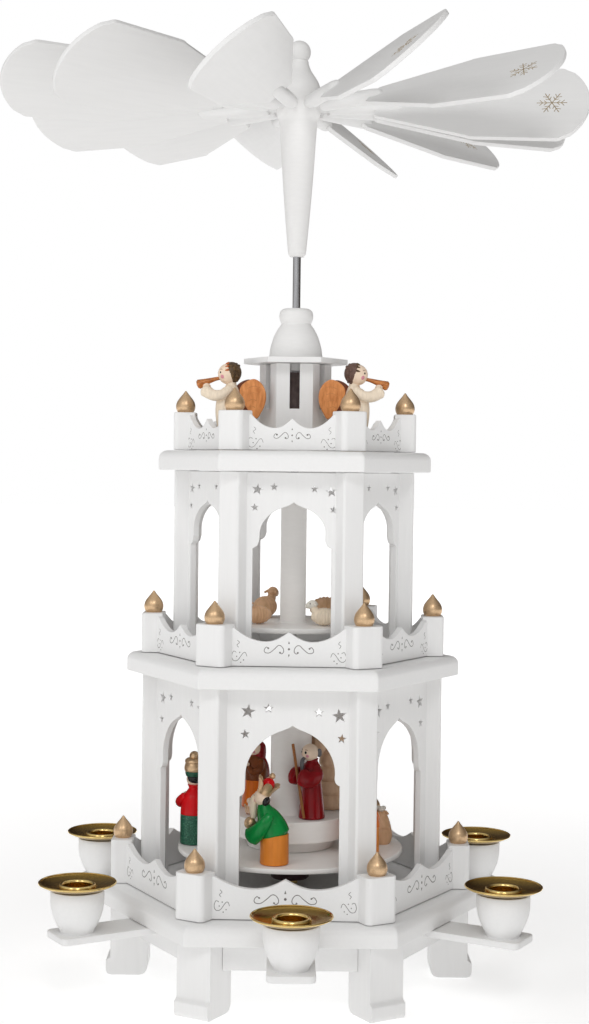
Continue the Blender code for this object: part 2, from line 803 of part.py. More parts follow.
def build_turret(white, brass):
    """Slotted lantern, its roof board, the dome and the bush in the dome."""
    lantern = hexagon_plate(TURRET_RADIUS, TURRET_HEIGHT, 0.0, TURRET_BORE)
    slot_height = TURRET_HEIGHT - TURRET_SILL
    cutters = []
    for azimuth in face_azimuths()[:3]:
        slot = box(TURRET_SLOT, 3 * TURRET_RADIUS, 2 * slot_height)
        cutters.append(placed(slot, azimuth_turn(azimuth) @ shift(0, 0, TURRET_SILL)))
    lantern = cut(lantern, cutters)
    finish(placed(lantern, shift(0, 0, TOP_TOP + GAP)), "turret", white)

    roof = hexagon_plate(ROOF_RADIUS, ROOF_THICKNESS, 0.0, SPIGOT_RADIUS + GAP)
    finish(placed(roof, shift(0, 0, ROOF_UNDER)), "turret_roof", white)

    shaft_bore = AXLE_RADIUS + 2 * GAP
    bush_bore = BUSH_RADIUS + GAP
    bush_seat = DOME_HEIGHT - BUSH_LENGTH
    bead_level = 0.855 * DOME_HEIGHT
    profile = [
        (bush_bore, bush_seat),
        (bush_bore, DOME_HEIGHT),
        (0.76 * DOME_BEAD, DOME_HEIGHT),
        (0.94 * DOME_BEAD, 0.95 * DOME_HEIGHT),
        (DOME_BEAD, bead_level),
        (0.96 * DOME_BEAD, 0.77 * DOME_HEIGHT),
        (DOME_NECK, 0.7 * DOME_HEIGHT),
        (DOME_NECK + 0.28 * (DOME_RADIUS - DOME_NECK), 0.58 * DOME_HEIGHT),
        (DOME_NECK + 0.6 * (DOME_RADIUS - DOME_NECK), 0.42 * DOME_HEIGHT),
        (DOME_NECK + 0.88 * (DOME_RADIUS - DOME_NECK), 0.2 * DOME_HEIGHT),
        (DOME_RADIUS, 0.0),
        (SPIGOT_RADIUS, 0.0),
        (SPIGOT_RADIUS, -SPIGOT_LENGTH),
        (shaft_bore, -SPIGOT_LENGTH),
        (shaft_bore, bush_seat),
    ]
    dome = placed(turned(profile, 18, closed=True), shift(0, 0, DOME_UNDER))
    finish(dome, "bearing_dome", white, 35)

    bush_profile = [
        (AXLE_RADIUS + GAP, BUSH_LENGTH - GAP),
        (BUSH_RADIUS, BUSH_LENGTH - GAP),
        (BUSH_RADIUS, 0.0),
        (AXLE_RADIUS + GAP, 0.0),
    ]
    bush = turned(bush_profile, 16, closed=True)
    finish(placed(bush, shift(0, 0, DOME_UNDER + bush_seat + GAP)), "upper_bush", brass, 35)


def build_pivot(brass):
    """Cup on the base plate in which the spindle's point stands."""
    cup_depth = PIVOT_HEIGHT - PIVOT_FLOOR
    profile = [
        (0.0, PIVOT_FLOOR),
        (PIVOT_MOUTH, PIVOT_FLOOR + cup_depth),
        (0.9 * PIVOT_RADIUS, PIVOT_HEIGHT),
        (PIVOT_RADIUS, 0.6 * PIVOT_HEIGHT),
        (PIVOT_RADIUS, 0.0),
        (0.0, 0.0),
    ]
    finish(placed(turned(profile, 16), shift(0, 0, BASE_TOP + GAP)), "pivot_bearing", brass, 35)


def build_axle(steel, carousel):
    """Steel spindle from the pivot cup up into the hub."""
    tip = BASE_TOP + GAP + PIVOT_FLOOR + GAP
    top = HUB_BOTTOM + HUB_BORE_DEPTH - GAP
    profile = [
        (0.0, top),
        (AXLE_RADIUS, top),
        (AXLE_RADIUS, tip + AXLE_TIP),
        (0.0, tip),
    ]
    finish(turned(profile, 12), "axle", steel, 35, carousel)


def stem_turn(degrees, rise):
    """Turn that points -Y along a stem, by its azimuth and how far its hole rises outwards."""
    return azimuth_turn(math.radians(degrees)) @ Matrix.Rotation(-math.radians(rise), 4, "X")


def build_hub(white, carousel):
    """Turned hub with a ball on top, a bore for the spindle and holes for the stems."""
    bore = AXLE_RADIUS + GAP
    ball_mid = HUB_HEIGHT - HUB_BALL_RADIUS
    profile = [(0.0, HUB_HEIGHT)]
    for degrees in (65, 40, 15, -10, -35):
        angle = math.radians(degrees)
        profile.append((HUB_BALL_RADIUS * math.cos(angle), ball_mid + HUB_BALL_RADIUS * math.sin(angle)))
    profile += [
        (HUB_NECK_RADIUS, HUB_NECK),
        (0.64 * HUB_RADIUS, 0.55 * HUB_NECK + 0.45 * HUB_SHOULDER),
        (0.92 * HUB_RADIUS, HUB_SHOULDER),
        (HUB_RADIUS, HUB_SHOULDER - 0.3 * HUB_RADIUS),
        (HUB_RADIUS, HUB_BAND),
        (0.87 * HUB_RADIUS, HUB_BAND - 0.2 * HUB_RADIUS),
        (0.63 * HUB_RADIUS, 0.27 * HUB_HEIGHT),
        (HUB_FOOT_RADIUS, 2 * MM),
        (0.8 * HUB_FOOT_RADIUS, 0.0),
        (bore, 0.0),
        (bore, HUB_BORE_DEPTH),
        (0.0, HUB_BORE_DEPTH),
    ]
    hub = turned(profile, 18)
    drills = []
    for degrees, rise in zip(BLADE_AZIMUTHS, BLADE_RISES):
        drill = cylinder(STEM_PIN_RADIUS + GAP, 2 * HUB_RADIUS, 8)
        place = shift(0, 0, STEM_LEVEL) @ stem_turn(degrees, rise)
        drills.append(placed(drill, place @ shift(0, -(STEM_PIN_INNER - GAP), 0) @ UPRIGHT))
    hub = cut(hub, drills)
    finish(placed(hub, shift(0, 0, HUB_BOTTOM)), "rotor_hub", white, 35, carousel)


def blade_outline():
    """Paddle seen square on, its length along -Y: a shallow arc between rounded corners."""
    bulge = BLADE_TIP - BLADE_CORNER
    tip_radius = (BLADE_CORNER_HALF**2 + bulge**2) / (2 * bulge)
    side = [
        (BLADE_ROOT_HALF, BLADE_ROOT),
        (BLADE_SHOULDER_HALF, BLADE_SHOULDER),
        (BLADE_CORNER_HALF, BLADE_CORNER - BLADE_CORNER_ROUND),
        (BLADE_CORNER_HALF - 0.2 * BLADE_CORNER_ROUND, BLADE_CORNER - 0.3 * BLADE_CORNER_ROUND),
    ]
    for share in (0.94, 0.75, 0.5, 0.25):
        x = share * BLADE_CORNER_HALF
        side.append((x, BLADE_TIP - tip_radius + math.sqrt(tip_radius**2 - x**2)))
    right = [(x, -y) for x, y in side]
    left = [(-x, y) for x, y in reversed(right)]
    return right + [(0.0, -BLADE_TIP)] + left


def build_blades(white, carousel):
    """Paddles glued into slotted stems, some less deep, each stem a friction fit in the hub."""
    stem_profile = [
        (0.0, STEM_END),
        (0.7 * STEM_RADIUS, STEM_END - 0.3 * STEM_RADIUS),
        (STEM_RADIUS, STEM_END - STEM_RADIUS),
        (STEM_RADIUS, STEM_START + 0.3 * STEM_RADIUS),
        (0.8 * STEM_RADIUS, STEM_START),
        (STEM_PIN_RADIUS, STEM_START),
        (STEM_PIN_RADIUS, STEM_PIN_INNER),
        (0.0, STEM_PIN_INNER),
    ]
    stems = zip(BLADE_AZIMUTHS, BLADE_RISES, BLADE_PITCHES, BLADE_SLIDES)
    for index, (degrees, rise, pitch, slide) in enumerate(stems):
        paddle = placed(flat([blade_outline()], BLADE_THICKNESS), shift(0, -slide, 0))
        stem = placed(turned(stem_profile, 8), UPRIGHT)
        blade = finish(fused([paddle, stem]), f"blade_{index + 1:02d}", white, 35, carousel)
        tilt = Matrix.Rotation(-math.radians(pitch), 4, "Y")
        blade.matrix_local = shift(0, 0, ROTOR_LEVEL) @ stem_turn(degrees, rise) @ tilt


def build_stages(white, carousel):
    """Turning discs on the spindle, with the sleeves between them."""
    bore = AXLE_RADIUS + GAP
    low = BASE_TOP + LOWER_DISC_LIFT
    boss_end = BASE_TOP + BOSS_LIFT
    pivot_room = BASE_TOP + GAP + PIVOT_HEIGHT + BOSS_ROOM
    profile = [
        (bore, LOWER_STAGE),
        (LOWER_DISC_RADIUS, LOWER_STAGE),
        (LOWER_DISC_RADIUS, low),
        (BOSS_RADIUS, low),
        (BOSS_RADIUS, boss_end),
        (PIVOT_RADIUS + BOSS_ROOM, boss_end),
        (PIVOT_RADIUS + BOSS_ROOM, pivot_room),
        (bore, pivot_room),
    ]
    finish(turned(profile, 36, closed=True), "lower_disc", white, 35, carousel)

    spacer = LOWER_STAGE + GAP
    step = spacer + SPACER_HEIGHT
    column_top = MIDDLE_UNDER - COLUMN_HEADROOM
    profile = [
        (bore, column_top),
        (LOWER_COLUMN_RADIUS, column_top),
        (LOWER_COLUMN_RADIUS, RAISED_STAGE + COLUMN_FOOT_HEIGHT),
        (0.6 * LOWER_COLUMN_RADIUS + 0.4 * COLUMN_FOOT_RADIUS, RAISED_STAGE + 0.35 * COLUMN_FOOT_HEIGHT),
        (COLUMN_FOOT_RADIUS, RAISED_STAGE),
        (RAISED_RADIUS, RAISED_STAGE),
        (RAISED_RADIUS, step),
        (SPACER_RADIUS, step),
        (SPACER_RADIUS, spacer),
        (bore, spacer),
    ]
    finish(turned(profile, 30, closed=True), "raised_stage", white, 35, carousel)

    column_top = TOP_UNDER - COLUMN_HEADROOM
    profile = [
        (bore, column_top),
        (UPPER_COLUMN_RADIUS, column_top),
        (UPPER_COLUMN_RADIUS, UPPER_STAGE),
        (UPPER_DISC_RADIUS, UPPER_STAGE),
        (UPPER_DISC_RADIUS, UPPER_STAGE - UPPER_DISC_THICKNESS),
        (bore, UPPER_STAGE - UPPER_DISC_THICKNESS),
    ]
    finish(turned(profile, 30, closed=True), "upper_stage", white, 35, carousel)


def stand(pieces, name, radius, azimuth, level, facing, material, parent=None):
    """Fuse a figure made facing +X and stand it on a stage."""
    figure = fused(pieces)
    spot = outward(azimuth) * radius
    turn = Matrix.Rotation(facing, 4, "Z")
    placed(figure, shift(spot.x, spot.y, level + GAP) @ turn)
    return finish(figure, name, material, 45, parent)


def robed_body(radius, height, waist_share=0.62):
    """Turned robe with narrow shoulders; the head's middle comes at the returned height."""
    chest = height - 2 * HEAD_RADIUS
    profile = [
        (0.0, chest),
        (0.45 * radius, chest - 0.02 * height),
        (0.72 * radius, chest - 0.1 * height),
        (0.78 * radius, 0.5 * height),
        (waist_share * radius + 0.2 * radius, 0.38 * height),
        (radius, 0.03 * height),
        (0.96 * radius, 0.0),
        (0.0, 0.0),
    ]
    robe = turned(profile, 12)
    return robe, chest + 0.82 * HEAD_RADIUS


def arms(shoulder, hands, reach, radius, sleeve):
    """Two bent arms that meet in front of the chest."""
    pieces = []
    for side in (-1, 1):
        top = (0.0, side * radius * 0.75, shoulder)
        bend = (0.45 * reach, side * radius * 0.95, 0.5 * (shoulder + hands))
        palm = (reach, side * radius * 0.25, hands)
        pieces += limb(top, bend, sleeve, sleeve * 1.05)
        pieces += limb(bend, palm, sleeve * 0.95, sleeve * 0.7)
    return pieces


def build_kings(carousel, green, red, orange):
    """Three kings on the lower stage: one kneels with a gift, two stand."""
    kneel = KING_HEIGHT
    skirt = cylinder(KING_RADIUS, 0.37 * kneel, 12, 0.94 * KING_RADIUS)
    torso = placed(ball(0.92 * KING_RADIUS, (0.9, 0.85, 1.55), 10, 8), shift(0, 0, 0.46 * kneel))
    head = placed(ball(HEAD_RADIUS), shift(0.5 * KING_RADIUS, 0, 0.74 * kneel))
    crown = placed(
        cylinder(0.8 * HEAD_RADIUS, 0.13 * kneel, 10, 1.25 * HEAD_RADIUS),
        shift(0.3 * KING_RADIUS, 0, 0.79 * kneel) @ Matrix.Rotation(math.radians(-22), 4, "Y"),
    )
    cap = placed(ball(0.95 * HEAD_RADIUS, (1, 1, 0.7)), shift(0, 0, 0.91 * kneel))
    jewel = placed(ball(0.4 * HEAD_RADIUS, u=6, v=5), shift(0, 0, 0.985 * kneel))
    gift = placed(ball(0.8 * HEAD_RADIUS, u=6, v=5), shift(1.25 * KING_RADIUS, 0, 0.52 * kneel))
    pieces = [skirt, torso, head, crown, cap, jewel, gift]
    nape = (0.5 * KING_RADIUS, 0, 0.72 * kneel)
    pieces += limb((0.2 * KING_RADIUS, 0, 0.58 * kneel), nape, 0.5 * HEAD_RADIUS, 0.5 * HEAD_RADIUS)
    pieces += arms(0.58 * kneel, 0.46 * kneel, 1.1 * KING_RADIUS, 0.8 * KING_RADIUS, 2.3 * MM)
    azimuth = math.radians(-8)
    facing = math.radians(172)
    stand(pieces, "king_green", GREEN_KING_PLACE, azimuth, LOWER_STAGE, facing, green, carousel)

    tall = KING_HEIGHT + 4 * MM
    robe, head_at = robed_body(KING_RADIUS, tall - 2.2 * HEAD_RADIUS)
    head = placed(ball(HEAD_RADIUS), shift(0, 0, head_at))
    turban = placed(ball(1.05 * HEAD_RADIUS, (1, 1, 0.75)), shift(0, 0, head_at + 0.95 * HEAD_RADIUS))
    knob = placed(ball(0.5 * HEAD_RADIUS, u=6, v=5), shift(0, 0, head_at + 1.95 * HEAD_RADIUS))
    pieces = [robe, head, turban, knob]
    pieces += arms(0.62 * tall, 0.5 * tall, 0.8 * KING_RADIUS, 0.75 * KING_RADIUS, 2.2 * MM)
    azimuth = math.radians(-87)
    facing = math.radians(120)
    stand(pieces, "king_red", RED_KING_PLACE, azimuth, LOWER_STAGE, facing, red, carousel)

    bowed = BOWED_HEIGHT
    robe = cylinder(KING_RADIUS, 0.45 * bowed, 12, 0.95 * KING_RADIUS)
    torso = placed(ball(0.92 * KING_RADIUS, (0.9, 0.88, 1.15), 10, 8), shift(0, 0, 0.48 * bowed))
    head = placed(ball(HEAD_RADIUS), shift(0.35 * KING_RADIUS, 0, 0.73 * bowed))
    hat_at = shift(0.3 * KING_RADIUS, 0, bowed - 0.84 * HEAD_RADIUS)
    hat = placed(ball(1.05 * HEAD_RADIUS, (1, 1, 0.8)), hat_at)
    pieces = [robe, torso, head, hat]
    pieces += arms(0.6 * bowed, 0.46 * bowed, KING_RADIUS, 0.8 * KING_RADIUS, 2.2 * MM)
    azimuth = math.radians(62.6)
    facing = math.radians(110)
    stand(pieces, "king_orange", ORANGE_KING_PLACE, azimuth, LOWER_STAGE, facing, orange, carousel)


def build_family(carousel, dark_red, red, cream, bare):
    """Joseph, Mary, the crib and the palm on the raised stage."""
    robe, head_at = robed_body(JOSEPH_RADIUS, JOSEPH_HEIGHT)
    head = placed(ball(HEAD_RADIUS), shift(0.1 * JOSEPH_RADIUS, 0, head_at))
    staff_foot = (0.98 * JOSEPH_RADIUS, 0.43 * JOSEPH_RADIUS, 0.02 * JOSEPH_HEIGHT)
    staff_top = (1.43 * JOSEPH_RADIUS, -0.5 * JOSEPH_RADIUS, 0.96 * JOSEPH_HEIGHT)
    staff = limb(staff_foot, staff_top, 0.9 * MM, 0.9 * MM, 6)
    pieces = [robe, head] + staff
    reach, half = 0.9 * JOSEPH_RADIUS, 0.75 * JOSEPH_RADIUS
    pieces += arms(0.66 * JOSEPH_HEIGHT, 0.52 * JOSEPH_HEIGHT, reach, half, 2.2 * MM)
    azimuth = math.radians(33)
    facing = math.radians(215)
    stand(pieces, "joseph", JOSEPH_PLACE, azimuth, RAISED_STAGE, facing, dark_red, carousel)

    robe, head_at = robed_body(0.92 * JOSEPH_RADIUS, MARY_HEIGHT)
    head = placed(ball(HEAD_RADIUS), shift(0, 0, head_at))
    hood = placed(ball(1.12 * HEAD_RADIUS, (1, 1, 1.15)), shift(-0.25 * HEAD_RADIUS, 0, head_at))
    pieces = [robe, head, hood]
    pieces += arms(0.62 * MARY_HEIGHT, 0.5 * MARY_HEIGHT, 0.7 * JOSEPH_RADIUS, 0.7 * JOSEPH_RADIUS, 2.1 * MM)
    azimuth = math.radians(-122)
    facing = math.radians(-135)
    stand(pieces, "mary", MARY_PLACE, azimuth, RAISED_STAGE, facing, red, carousel)

    trough = box(CRIB_LENGTH, 0.62 * CRIB_LENGTH, 0.42 * CRIB_LENGTH)
    child = placed(ball(0.3 * CRIB_LENGTH, (1.4, 0.75, 0.6), 10, 6), shift(0, 0, 0.45 * CRIB_LENGTH))
    child_head = placed(ball(0.17 * CRIB_LENGTH, u=6, v=5), shift(0.36 * CRIB_LENGTH, 0, 0.6 * CRIB_LENGTH))
    azimuth = math.radians(-57)
    pieces = [trough, child, child_head]
    stand(pieces, "crib", CRIB_PLACE, azimuth, RAISED_STAGE, math.radians(120), cream, carousel)

    trunk_profile = [(0.0, 0.78 * PALM_HEIGHT)]
    rings = 5
    for index in range(rings):
        low = 0.78 * PALM_HEIGHT * (1 - (index + 1) / rings)
        spread = 0.45 + 0.55 * (index + 1) / rings
        trunk_profile.append((0.86 * spread * PALM_RADIUS, low + 0.1 * PALM_HEIGHT))
        trunk_profile.append((spread * PALM_RADIUS, low + 0.02 * PALM_HEIGHT))
    trunk_profile += [(PALM_RADIUS, 0.0), (0.0, 0.0)]
    pieces = [turned(trunk_profile, 10)]
    pieces.append(placed(ball(0.75 * PALM_RADIUS, (1, 1, 0.8)), shift(0, 0, 0.82 * PALM_HEIGHT)))
    for index in range(6):
        aim = Matrix.Rotation(index * math.pi / 3, 4, "Z")
        leaf = placed(
            ball(0.5 * PALM_CROWN, (1.0, 0.4, 0.5), 6, 4),
            aim @ shift(0.54 * PALM_CROWN, 0, PALM_CROWN_LEVEL) @ Matrix.Rotation(0.35, 4, "Y"),
        )
        pieces.append(leaf)
    stand(pieces, "palm_tree", PALM_PLACE, math.radians(112), RAISED_STAGE, 0.0, bare, carousel)


def sheep_pieces(length):
    """Lying sheep: ribbed body, neck and head, made facing +X."""
    width = 0.36 * length
    pieces = []
    for index, share in enumerate((-0.3, -0.1, 0.1, 0.28)):
        rib = ball(width * (1.0, 1.08, 1.05, 0.9)[index], (0.62, 1.0, 1.0), 8, 6)
        pieces.append(placed(rib, shift(share * length, 0, 1.12 * width)))
    head = placed(ball(0.19 * length, (1.25, 0.85, 1.0), 8, 6), shift(0.52 * length, 0, 0.86 * length))
    nape = (0.44 * length, 0, 0.78 * length)
    neck = limb((0.26 * length, 0, 0.45 * length), nape, 0.17 * length, 0.15 * length)
    base = box(0.8 * length, 1.2 * width, 0.12 * length)
    return pieces + [head, base] + neck


def build_flock(carousel, cream, bare):
    """Sheep on the upper stage and the lamb beside the orange king."""
    for name, length, place, degrees, level, facing, material in (
        ("sheep_white", SHEEP_LENGTH, SHEEP_PLACE, 36, UPPER_STAGE, 170, cream),
        ("lamb_tan", LAMB_LENGTH, LAMB_PLACE, 97, LOWER_STAGE, 95, bare),
    ):
        turn = math.radians(facing)
        stand(sheep_pieces(length), name, place, math.radians(degrees), level, turn, material, carousel)


def build_angels(cream):
    """Two angels on the top plate, each blowing a horn away from the turret."""
    spots = (
        ("angel_left", -70, LEFT_ANGEL_PLACE, 180),
        ("angel_right", 65, RIGHT_ANGEL_PLACE, 0),
    )
    for name, azimuth, radius, facing in spots:
        robe, _ = robed_body(0.95 * KING_RADIUS, ANGEL_HEIGHT)
        head_at = ANGEL_HEIGHT - ANGEL_HEAD
        head = placed(ball(ANGEL_HEAD), shift(0.15 * ANGEL_HEAD, 0, head_at))
        mouth = (0.9 * ANGEL_HEAD, 0, head_at - 0.6 * ANGEL_HEAD)
        bell = (HORN_REACH, 0, head_at - 1.1 * ANGEL_HEAD)
        pieces = [robe, head] + limb(mouth, bell, 0.55 * HORN_BELL, HORN_BELL)
        for part_side in (-1, 1):
            shoulder = (1 * MM, part_side * 4.6 * MM, head_at - 10 * MM)
            elbow = (0.85 * HORN_REACH, part_side * 4.2 * MM, head_at - 13.5 * MM)
            hand = (0.6 * HORN_REACH, part_side * 1.2 * MM, head_at - 7 * MM)
            pieces += limb(shoulder, elbow, 0.65 * SLEEVE, SLEEVE)
            pieces += limb(elbow, hand, 0.8 * SLEEVE, 0.42 * SLEEVE)
            back = (-3 * MM, part_side * 2 * MM, head_at - 15 * MM)
            root = (-10.5 * MM, part_side * 3.1 * MM, head_at - 16 * MM)
            pieces += limb(back, root, 2.0 * MM, 1.3 * MM)
            wing = ball(WING_RADIUS, (1.0, 0.2, 1.75), 10, 6)
            spread = Matrix.Rotation(part_side * math.radians(-8), 4, "Z")
            place = shift(-WING_REACH, part_side * 3.4 * MM, head_at - 16.3 * MM)
            pieces.append(placed(wing, place @ spread))
        azimuth = math.radians(azimuth)
        stand(pieces, name, radius, azimuth, TOP_TOP, math.radians(facing), cream)


def build():
    """The whole pyramid."""
    white = make_material("white_paint", WHITE_PAINT, 0.55)
    brass = make_material("brass_plate", BRASS, 0.25, 1.0)
    steel = make_material("polished_steel", STEEL, 0.2, 1.0)
    cream = make_material("cream_paint", CREAM, 0.5)
    bare = make_material("bare_wood", BARE_WOOD, 0.6)
    green = make_material("green_lacquer", GREEN, 0.3)
    red = make_material("red_lacquer", RED, 0.3)
    dark_red = make_material("dark_red_lacquer", DARK_RED, 0.3)
    orange = make_material("orange_lacquer", ORANGE, 0.35)
    carousel = axis_empty("carousel_axis", (0, 0, 0))
    build_base(white)
    build_candle_holders(white, brass)
    build_tower(white)
    build_turret(white, brass)
    build_pivot(brass)
    build_axle(steel, carousel)
    build_hub(white, carousel)
    build_blades(white, carousel)
    build_stages(white, carousel)
    build_kings(carousel, green, red, orange)
    build_family(carousel, dark_red, red, cream, bare)
    build_flock(carousel, cream, bare)
    build_angels(cream)
    bpy.data.collections.remove(bench)


build()
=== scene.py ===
"""Looks of a white wooden Christmas pyramid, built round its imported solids.

Shapes are drawn in millimetres about the frame's origin and scaled to metres when a piece
is finished. An azimuth is an angle about +Z from -Y towards +X, in degrees.
"""

import math

import bmesh
import bpy
from mathutils import Matrix, Vector


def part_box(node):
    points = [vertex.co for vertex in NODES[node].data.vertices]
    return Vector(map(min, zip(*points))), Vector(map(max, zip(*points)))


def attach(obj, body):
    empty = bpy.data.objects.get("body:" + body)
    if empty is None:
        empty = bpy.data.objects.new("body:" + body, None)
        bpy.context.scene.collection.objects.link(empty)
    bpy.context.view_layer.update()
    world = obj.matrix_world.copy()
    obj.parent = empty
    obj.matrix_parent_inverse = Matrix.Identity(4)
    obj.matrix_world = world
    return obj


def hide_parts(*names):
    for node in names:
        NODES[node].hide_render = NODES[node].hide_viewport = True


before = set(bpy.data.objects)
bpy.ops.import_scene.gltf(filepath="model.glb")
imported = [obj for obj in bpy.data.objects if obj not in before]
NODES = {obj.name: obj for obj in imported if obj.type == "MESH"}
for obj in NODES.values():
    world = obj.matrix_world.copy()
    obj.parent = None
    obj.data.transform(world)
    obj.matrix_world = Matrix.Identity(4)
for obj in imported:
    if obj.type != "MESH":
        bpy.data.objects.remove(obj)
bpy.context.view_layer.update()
TO_METRES = 0.001
TO_MM = 1000.0


# Places and turns

def low(node):
    """Height of a node's underside, in millimetres."""
    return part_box(node)[0].z * TO_MM


def high(node):
    """Height of a node's top, in millimetres."""
    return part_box(node)[1].z * TO_MM


def shift(x=0.0, y=0.0, z=0.0):
    """Translation."""
    return Matrix.Translation((x, y, z))


def turn(degrees, axis="Z"):
    """Rotation about an axis."""
    return Matrix.Rotation(math.radians(degrees), 4, axis)


def stretch(x, y, z):
    """Scale along the three axes."""
    return Matrix.Diagonal((x, y, z, 1.0))


def polar(radius, azimuth):
    """Point on the XY plane at a radius and an azimuth."""
    angle = math.radians(azimuth)
    return radius * math.sin(angle), -radius * math.cos(angle)


def spot(radius, azimuth, z, facing=0.0):
    """Place on a stage, with local +X turned to face a direction."""
    x, y = polar(radius, azimuth)
    return shift(x, y, z) @ turn(facing)


def side(azimuth, distance, z=0.0):
    """Place on a face of the tower: local X runs along the face and local -Y points out."""
    return turn(azimuth) @ shift(0.0, -distance, z)


UPRIGHT = turn(90, "X")
COS30 = math.cos(math.pi / 6)
FACES = [60 * index for index in range(6)]
CORNERS = [30 + 60 * index for index in range(6)]
BASE_TURN = 2.0
GAP = 0.3


# Paints

def new_material(name):
    """Material with its tree, shader and object coordinates."""
    material = bpy.data.materials.new(name)
    material.use_nodes = True
    tree = material.node_tree
    shader = tree.nodes["Principled BSDF"]
    where = tree.nodes.new("ShaderNodeTexCoord").outputs["Object"]
    return material, tree, shader, where


def add_node(tree, kind, values, socket=None, source=None):
    """Shader node with some inputs set, and one of them fed by another node's output."""
    made = tree.nodes.new("ShaderNode" + kind)
    for name, value in values.items():
        made.inputs[name].default_value = value
    if socket is not None:
        tree.links.new(source, made.inputs[socket])
    return made


def noise(tree, where, scale, detail=3.0, squeeze=None):
    """Noise factor, its coordinates squeezed where a grain runs one way."""
    if squeeze is not None:
        where = add_node(tree, "Mapping", {"Scale": squeeze}, "Vector", where).outputs["Vector"]
    return add_node(tree, "TexNoise", {"Scale": scale, "Detail": detail}, "Vector", where).outputs["Fac"]


def ramp(tree, factor, stops):
    """Colour ramp from (position, colour) stops."""
    node = tree.nodes.new("ShaderNodeValToRGB")
    elements = node.color_ramp.elements
    while len(elements) < len(stops):
        elements.new(0.5)
    for element, (position, color) in zip(elements, stops):
        element.position = position
        element.color = (*color, 1.0)
    tree.links.new(factor, node.inputs["Fac"])
    return node.outputs["Color"]


def span(tree, factor, low_value, high_value, low_factor=0.3, high_factor=0.7):
    """Number that runs between two values as a factor goes between two others."""
    limits = {"From Min": low_factor, "From Max": high_factor, "To Min": low_value, "To Max": high_value}
    return add_node(tree, "MapRange", limits, "Value", factor).outputs["Result"]


def bump(tree, factor, shader, strength, distance):
    """Relief of a factor on the shader's normal."""
    node = add_node(tree, "Bump", {"Strength": strength, "Distance": distance}, "Height", factor)
    tree.links.new(node.outputs["Normal"], shader.inputs["Normal"])


def shade(color, amount):
    """A colour made lighter or darker."""
    return tuple(min(1.0, channel * amount) for channel in color)


# Noise scales along X, Y and Z
COARSE = (300, 300, 300)
EVEN = (500, 500, 500)
FINE = (900, 900, 900)
TURNED = (300, 300, 90)
LENGTHWISE = (420, 420, 50)
LAYERS = (200, 200, 700)
BOARD = (500, 500, 150)
HAIRY = (1200, 1200, 200)
RINGS = (500, 500, 2400)


def paint(name, color, rough, spread, grain, relief, coat=0.0, metallic=0.0, dark=None, gloss=0.3):
    """Brushed or sprayed paint: colour that varies along a grain, its own sheen and relief."""
    material, tree, shader, where = new_material(name)
    strokes = noise(tree, where, 1.0, 4.0, grain)
    deep = dark if dark is not None else shade(color, 1 - spread)
    stops = [(0.32, deep), (0.68, shade(color, 1 + 0.5 * spread))]
    tree.links.new(ramp(tree, strokes, stops), shader.inputs["Base Color"])
    patches = noise(tree, where, 130.0, 2.0)
    tree.links.new(span(tree, patches, 0.85 * rough, 1.15 * rough), shader.inputs["Roughness"])
    shader.inputs["Metallic"].default_value = metallic
    shader.inputs["Coat Weight"].default_value = coat
    shader.inputs["Coat Roughness"].default_value = 0.16
    shader.inputs["Specular IOR Level"].default_value = gloss
    bump(tree, strokes, shader, relief, 0.0002)
    return material


def speckled(name, ground, fleck):
    """Dark paint with fine lighter flecks in it."""
    material, tree, shader, where = new_material(name)
    flecks = noise(tree, where, 1500.0, 2.0)
    stops = [(0.45, ground), (0.56, shade(ground, 1.5)), (0.68, fleck)]
    tree.links.new(ramp(tree, flecks, stops), shader.inputs["Base Color"])
    tree.links.new(span(tree, flecks, 0.32, 0.55), shader.inputs["Roughness"])
    bump(tree, flecks, shader, 0.25, 0.0002)
    return material


def lacquer(name, color, spread, gloss):
    """Gloss paint on a turned piece."""
    return paint(name, color, 0.24, spread, TURNED, 0.08, coat=0.2, gloss=gloss)


def turned_metal(name, color, rough, line_scale, relief=0.05):
    """Bright metal with fine lines round its axis."""
    material, tree, shader, where = new_material(name)
    lines = noise(tree, where, 1.0, 3.0, line_scale)
    stops = [(0.35, shade(color, 0.86)), (0.65, shade(color, 1.06))]
    tree.links.new(ramp(tree, lines, stops), shader.inputs["Base Color"])
    tree.links.new(span(tree, lines, 0.8 * rough, 1.25 * rough), shader.inputs["Roughness"])
    shader.inputs["Metallic"].default_value = 1.0
    bump(tree, lines, shader, relief, 0.0001)
    return material


WHITE_COAT = (0.84, 0.838, 0.833)
WHITE = paint("white_satin", WHITE_COAT, 0.42, 0.012, EVEN, 0.05)
WHITE_UPRIGHT = paint("white_upright_grain", WHITE_COAT, 0.42, 0.014, (420, 420, 40), 0.05)
# Brighter, warmer white for the turning discs and columns: painted light, standing for the light that
# reaches them inside the tower.
WHITE_DISCS_PAINTED_LIGHT = paint("white_discs_painted_light", (0.93, 0.91, 0.885), 0.42, 0.016, LAYERS, 0.05)
WHITE_TURNED = paint("white_turned", (0.8, 0.794, 0.785), 0.42, 0.016, LAYERS, 0.05)
# Greyer white for the paddles: painted shade, standing for the shade on their faces.
BLADE_SHADED_WHITE = paint("white_blades_painted_shade", (0.765, 0.762, 0.756), 0.46, 0.014, (420, 40, 420), 0.05)
# Dark brown of the sleeve on the spindle in the turret: painted shade for the shadowed inside that shows
# through the turret's slots.
SHADE_SLEEVE_BROWN = paint("painted_shade_sleeve", (0.2, 0.15, 0.14), 0.6, 0.2, COARSE, 0.1)
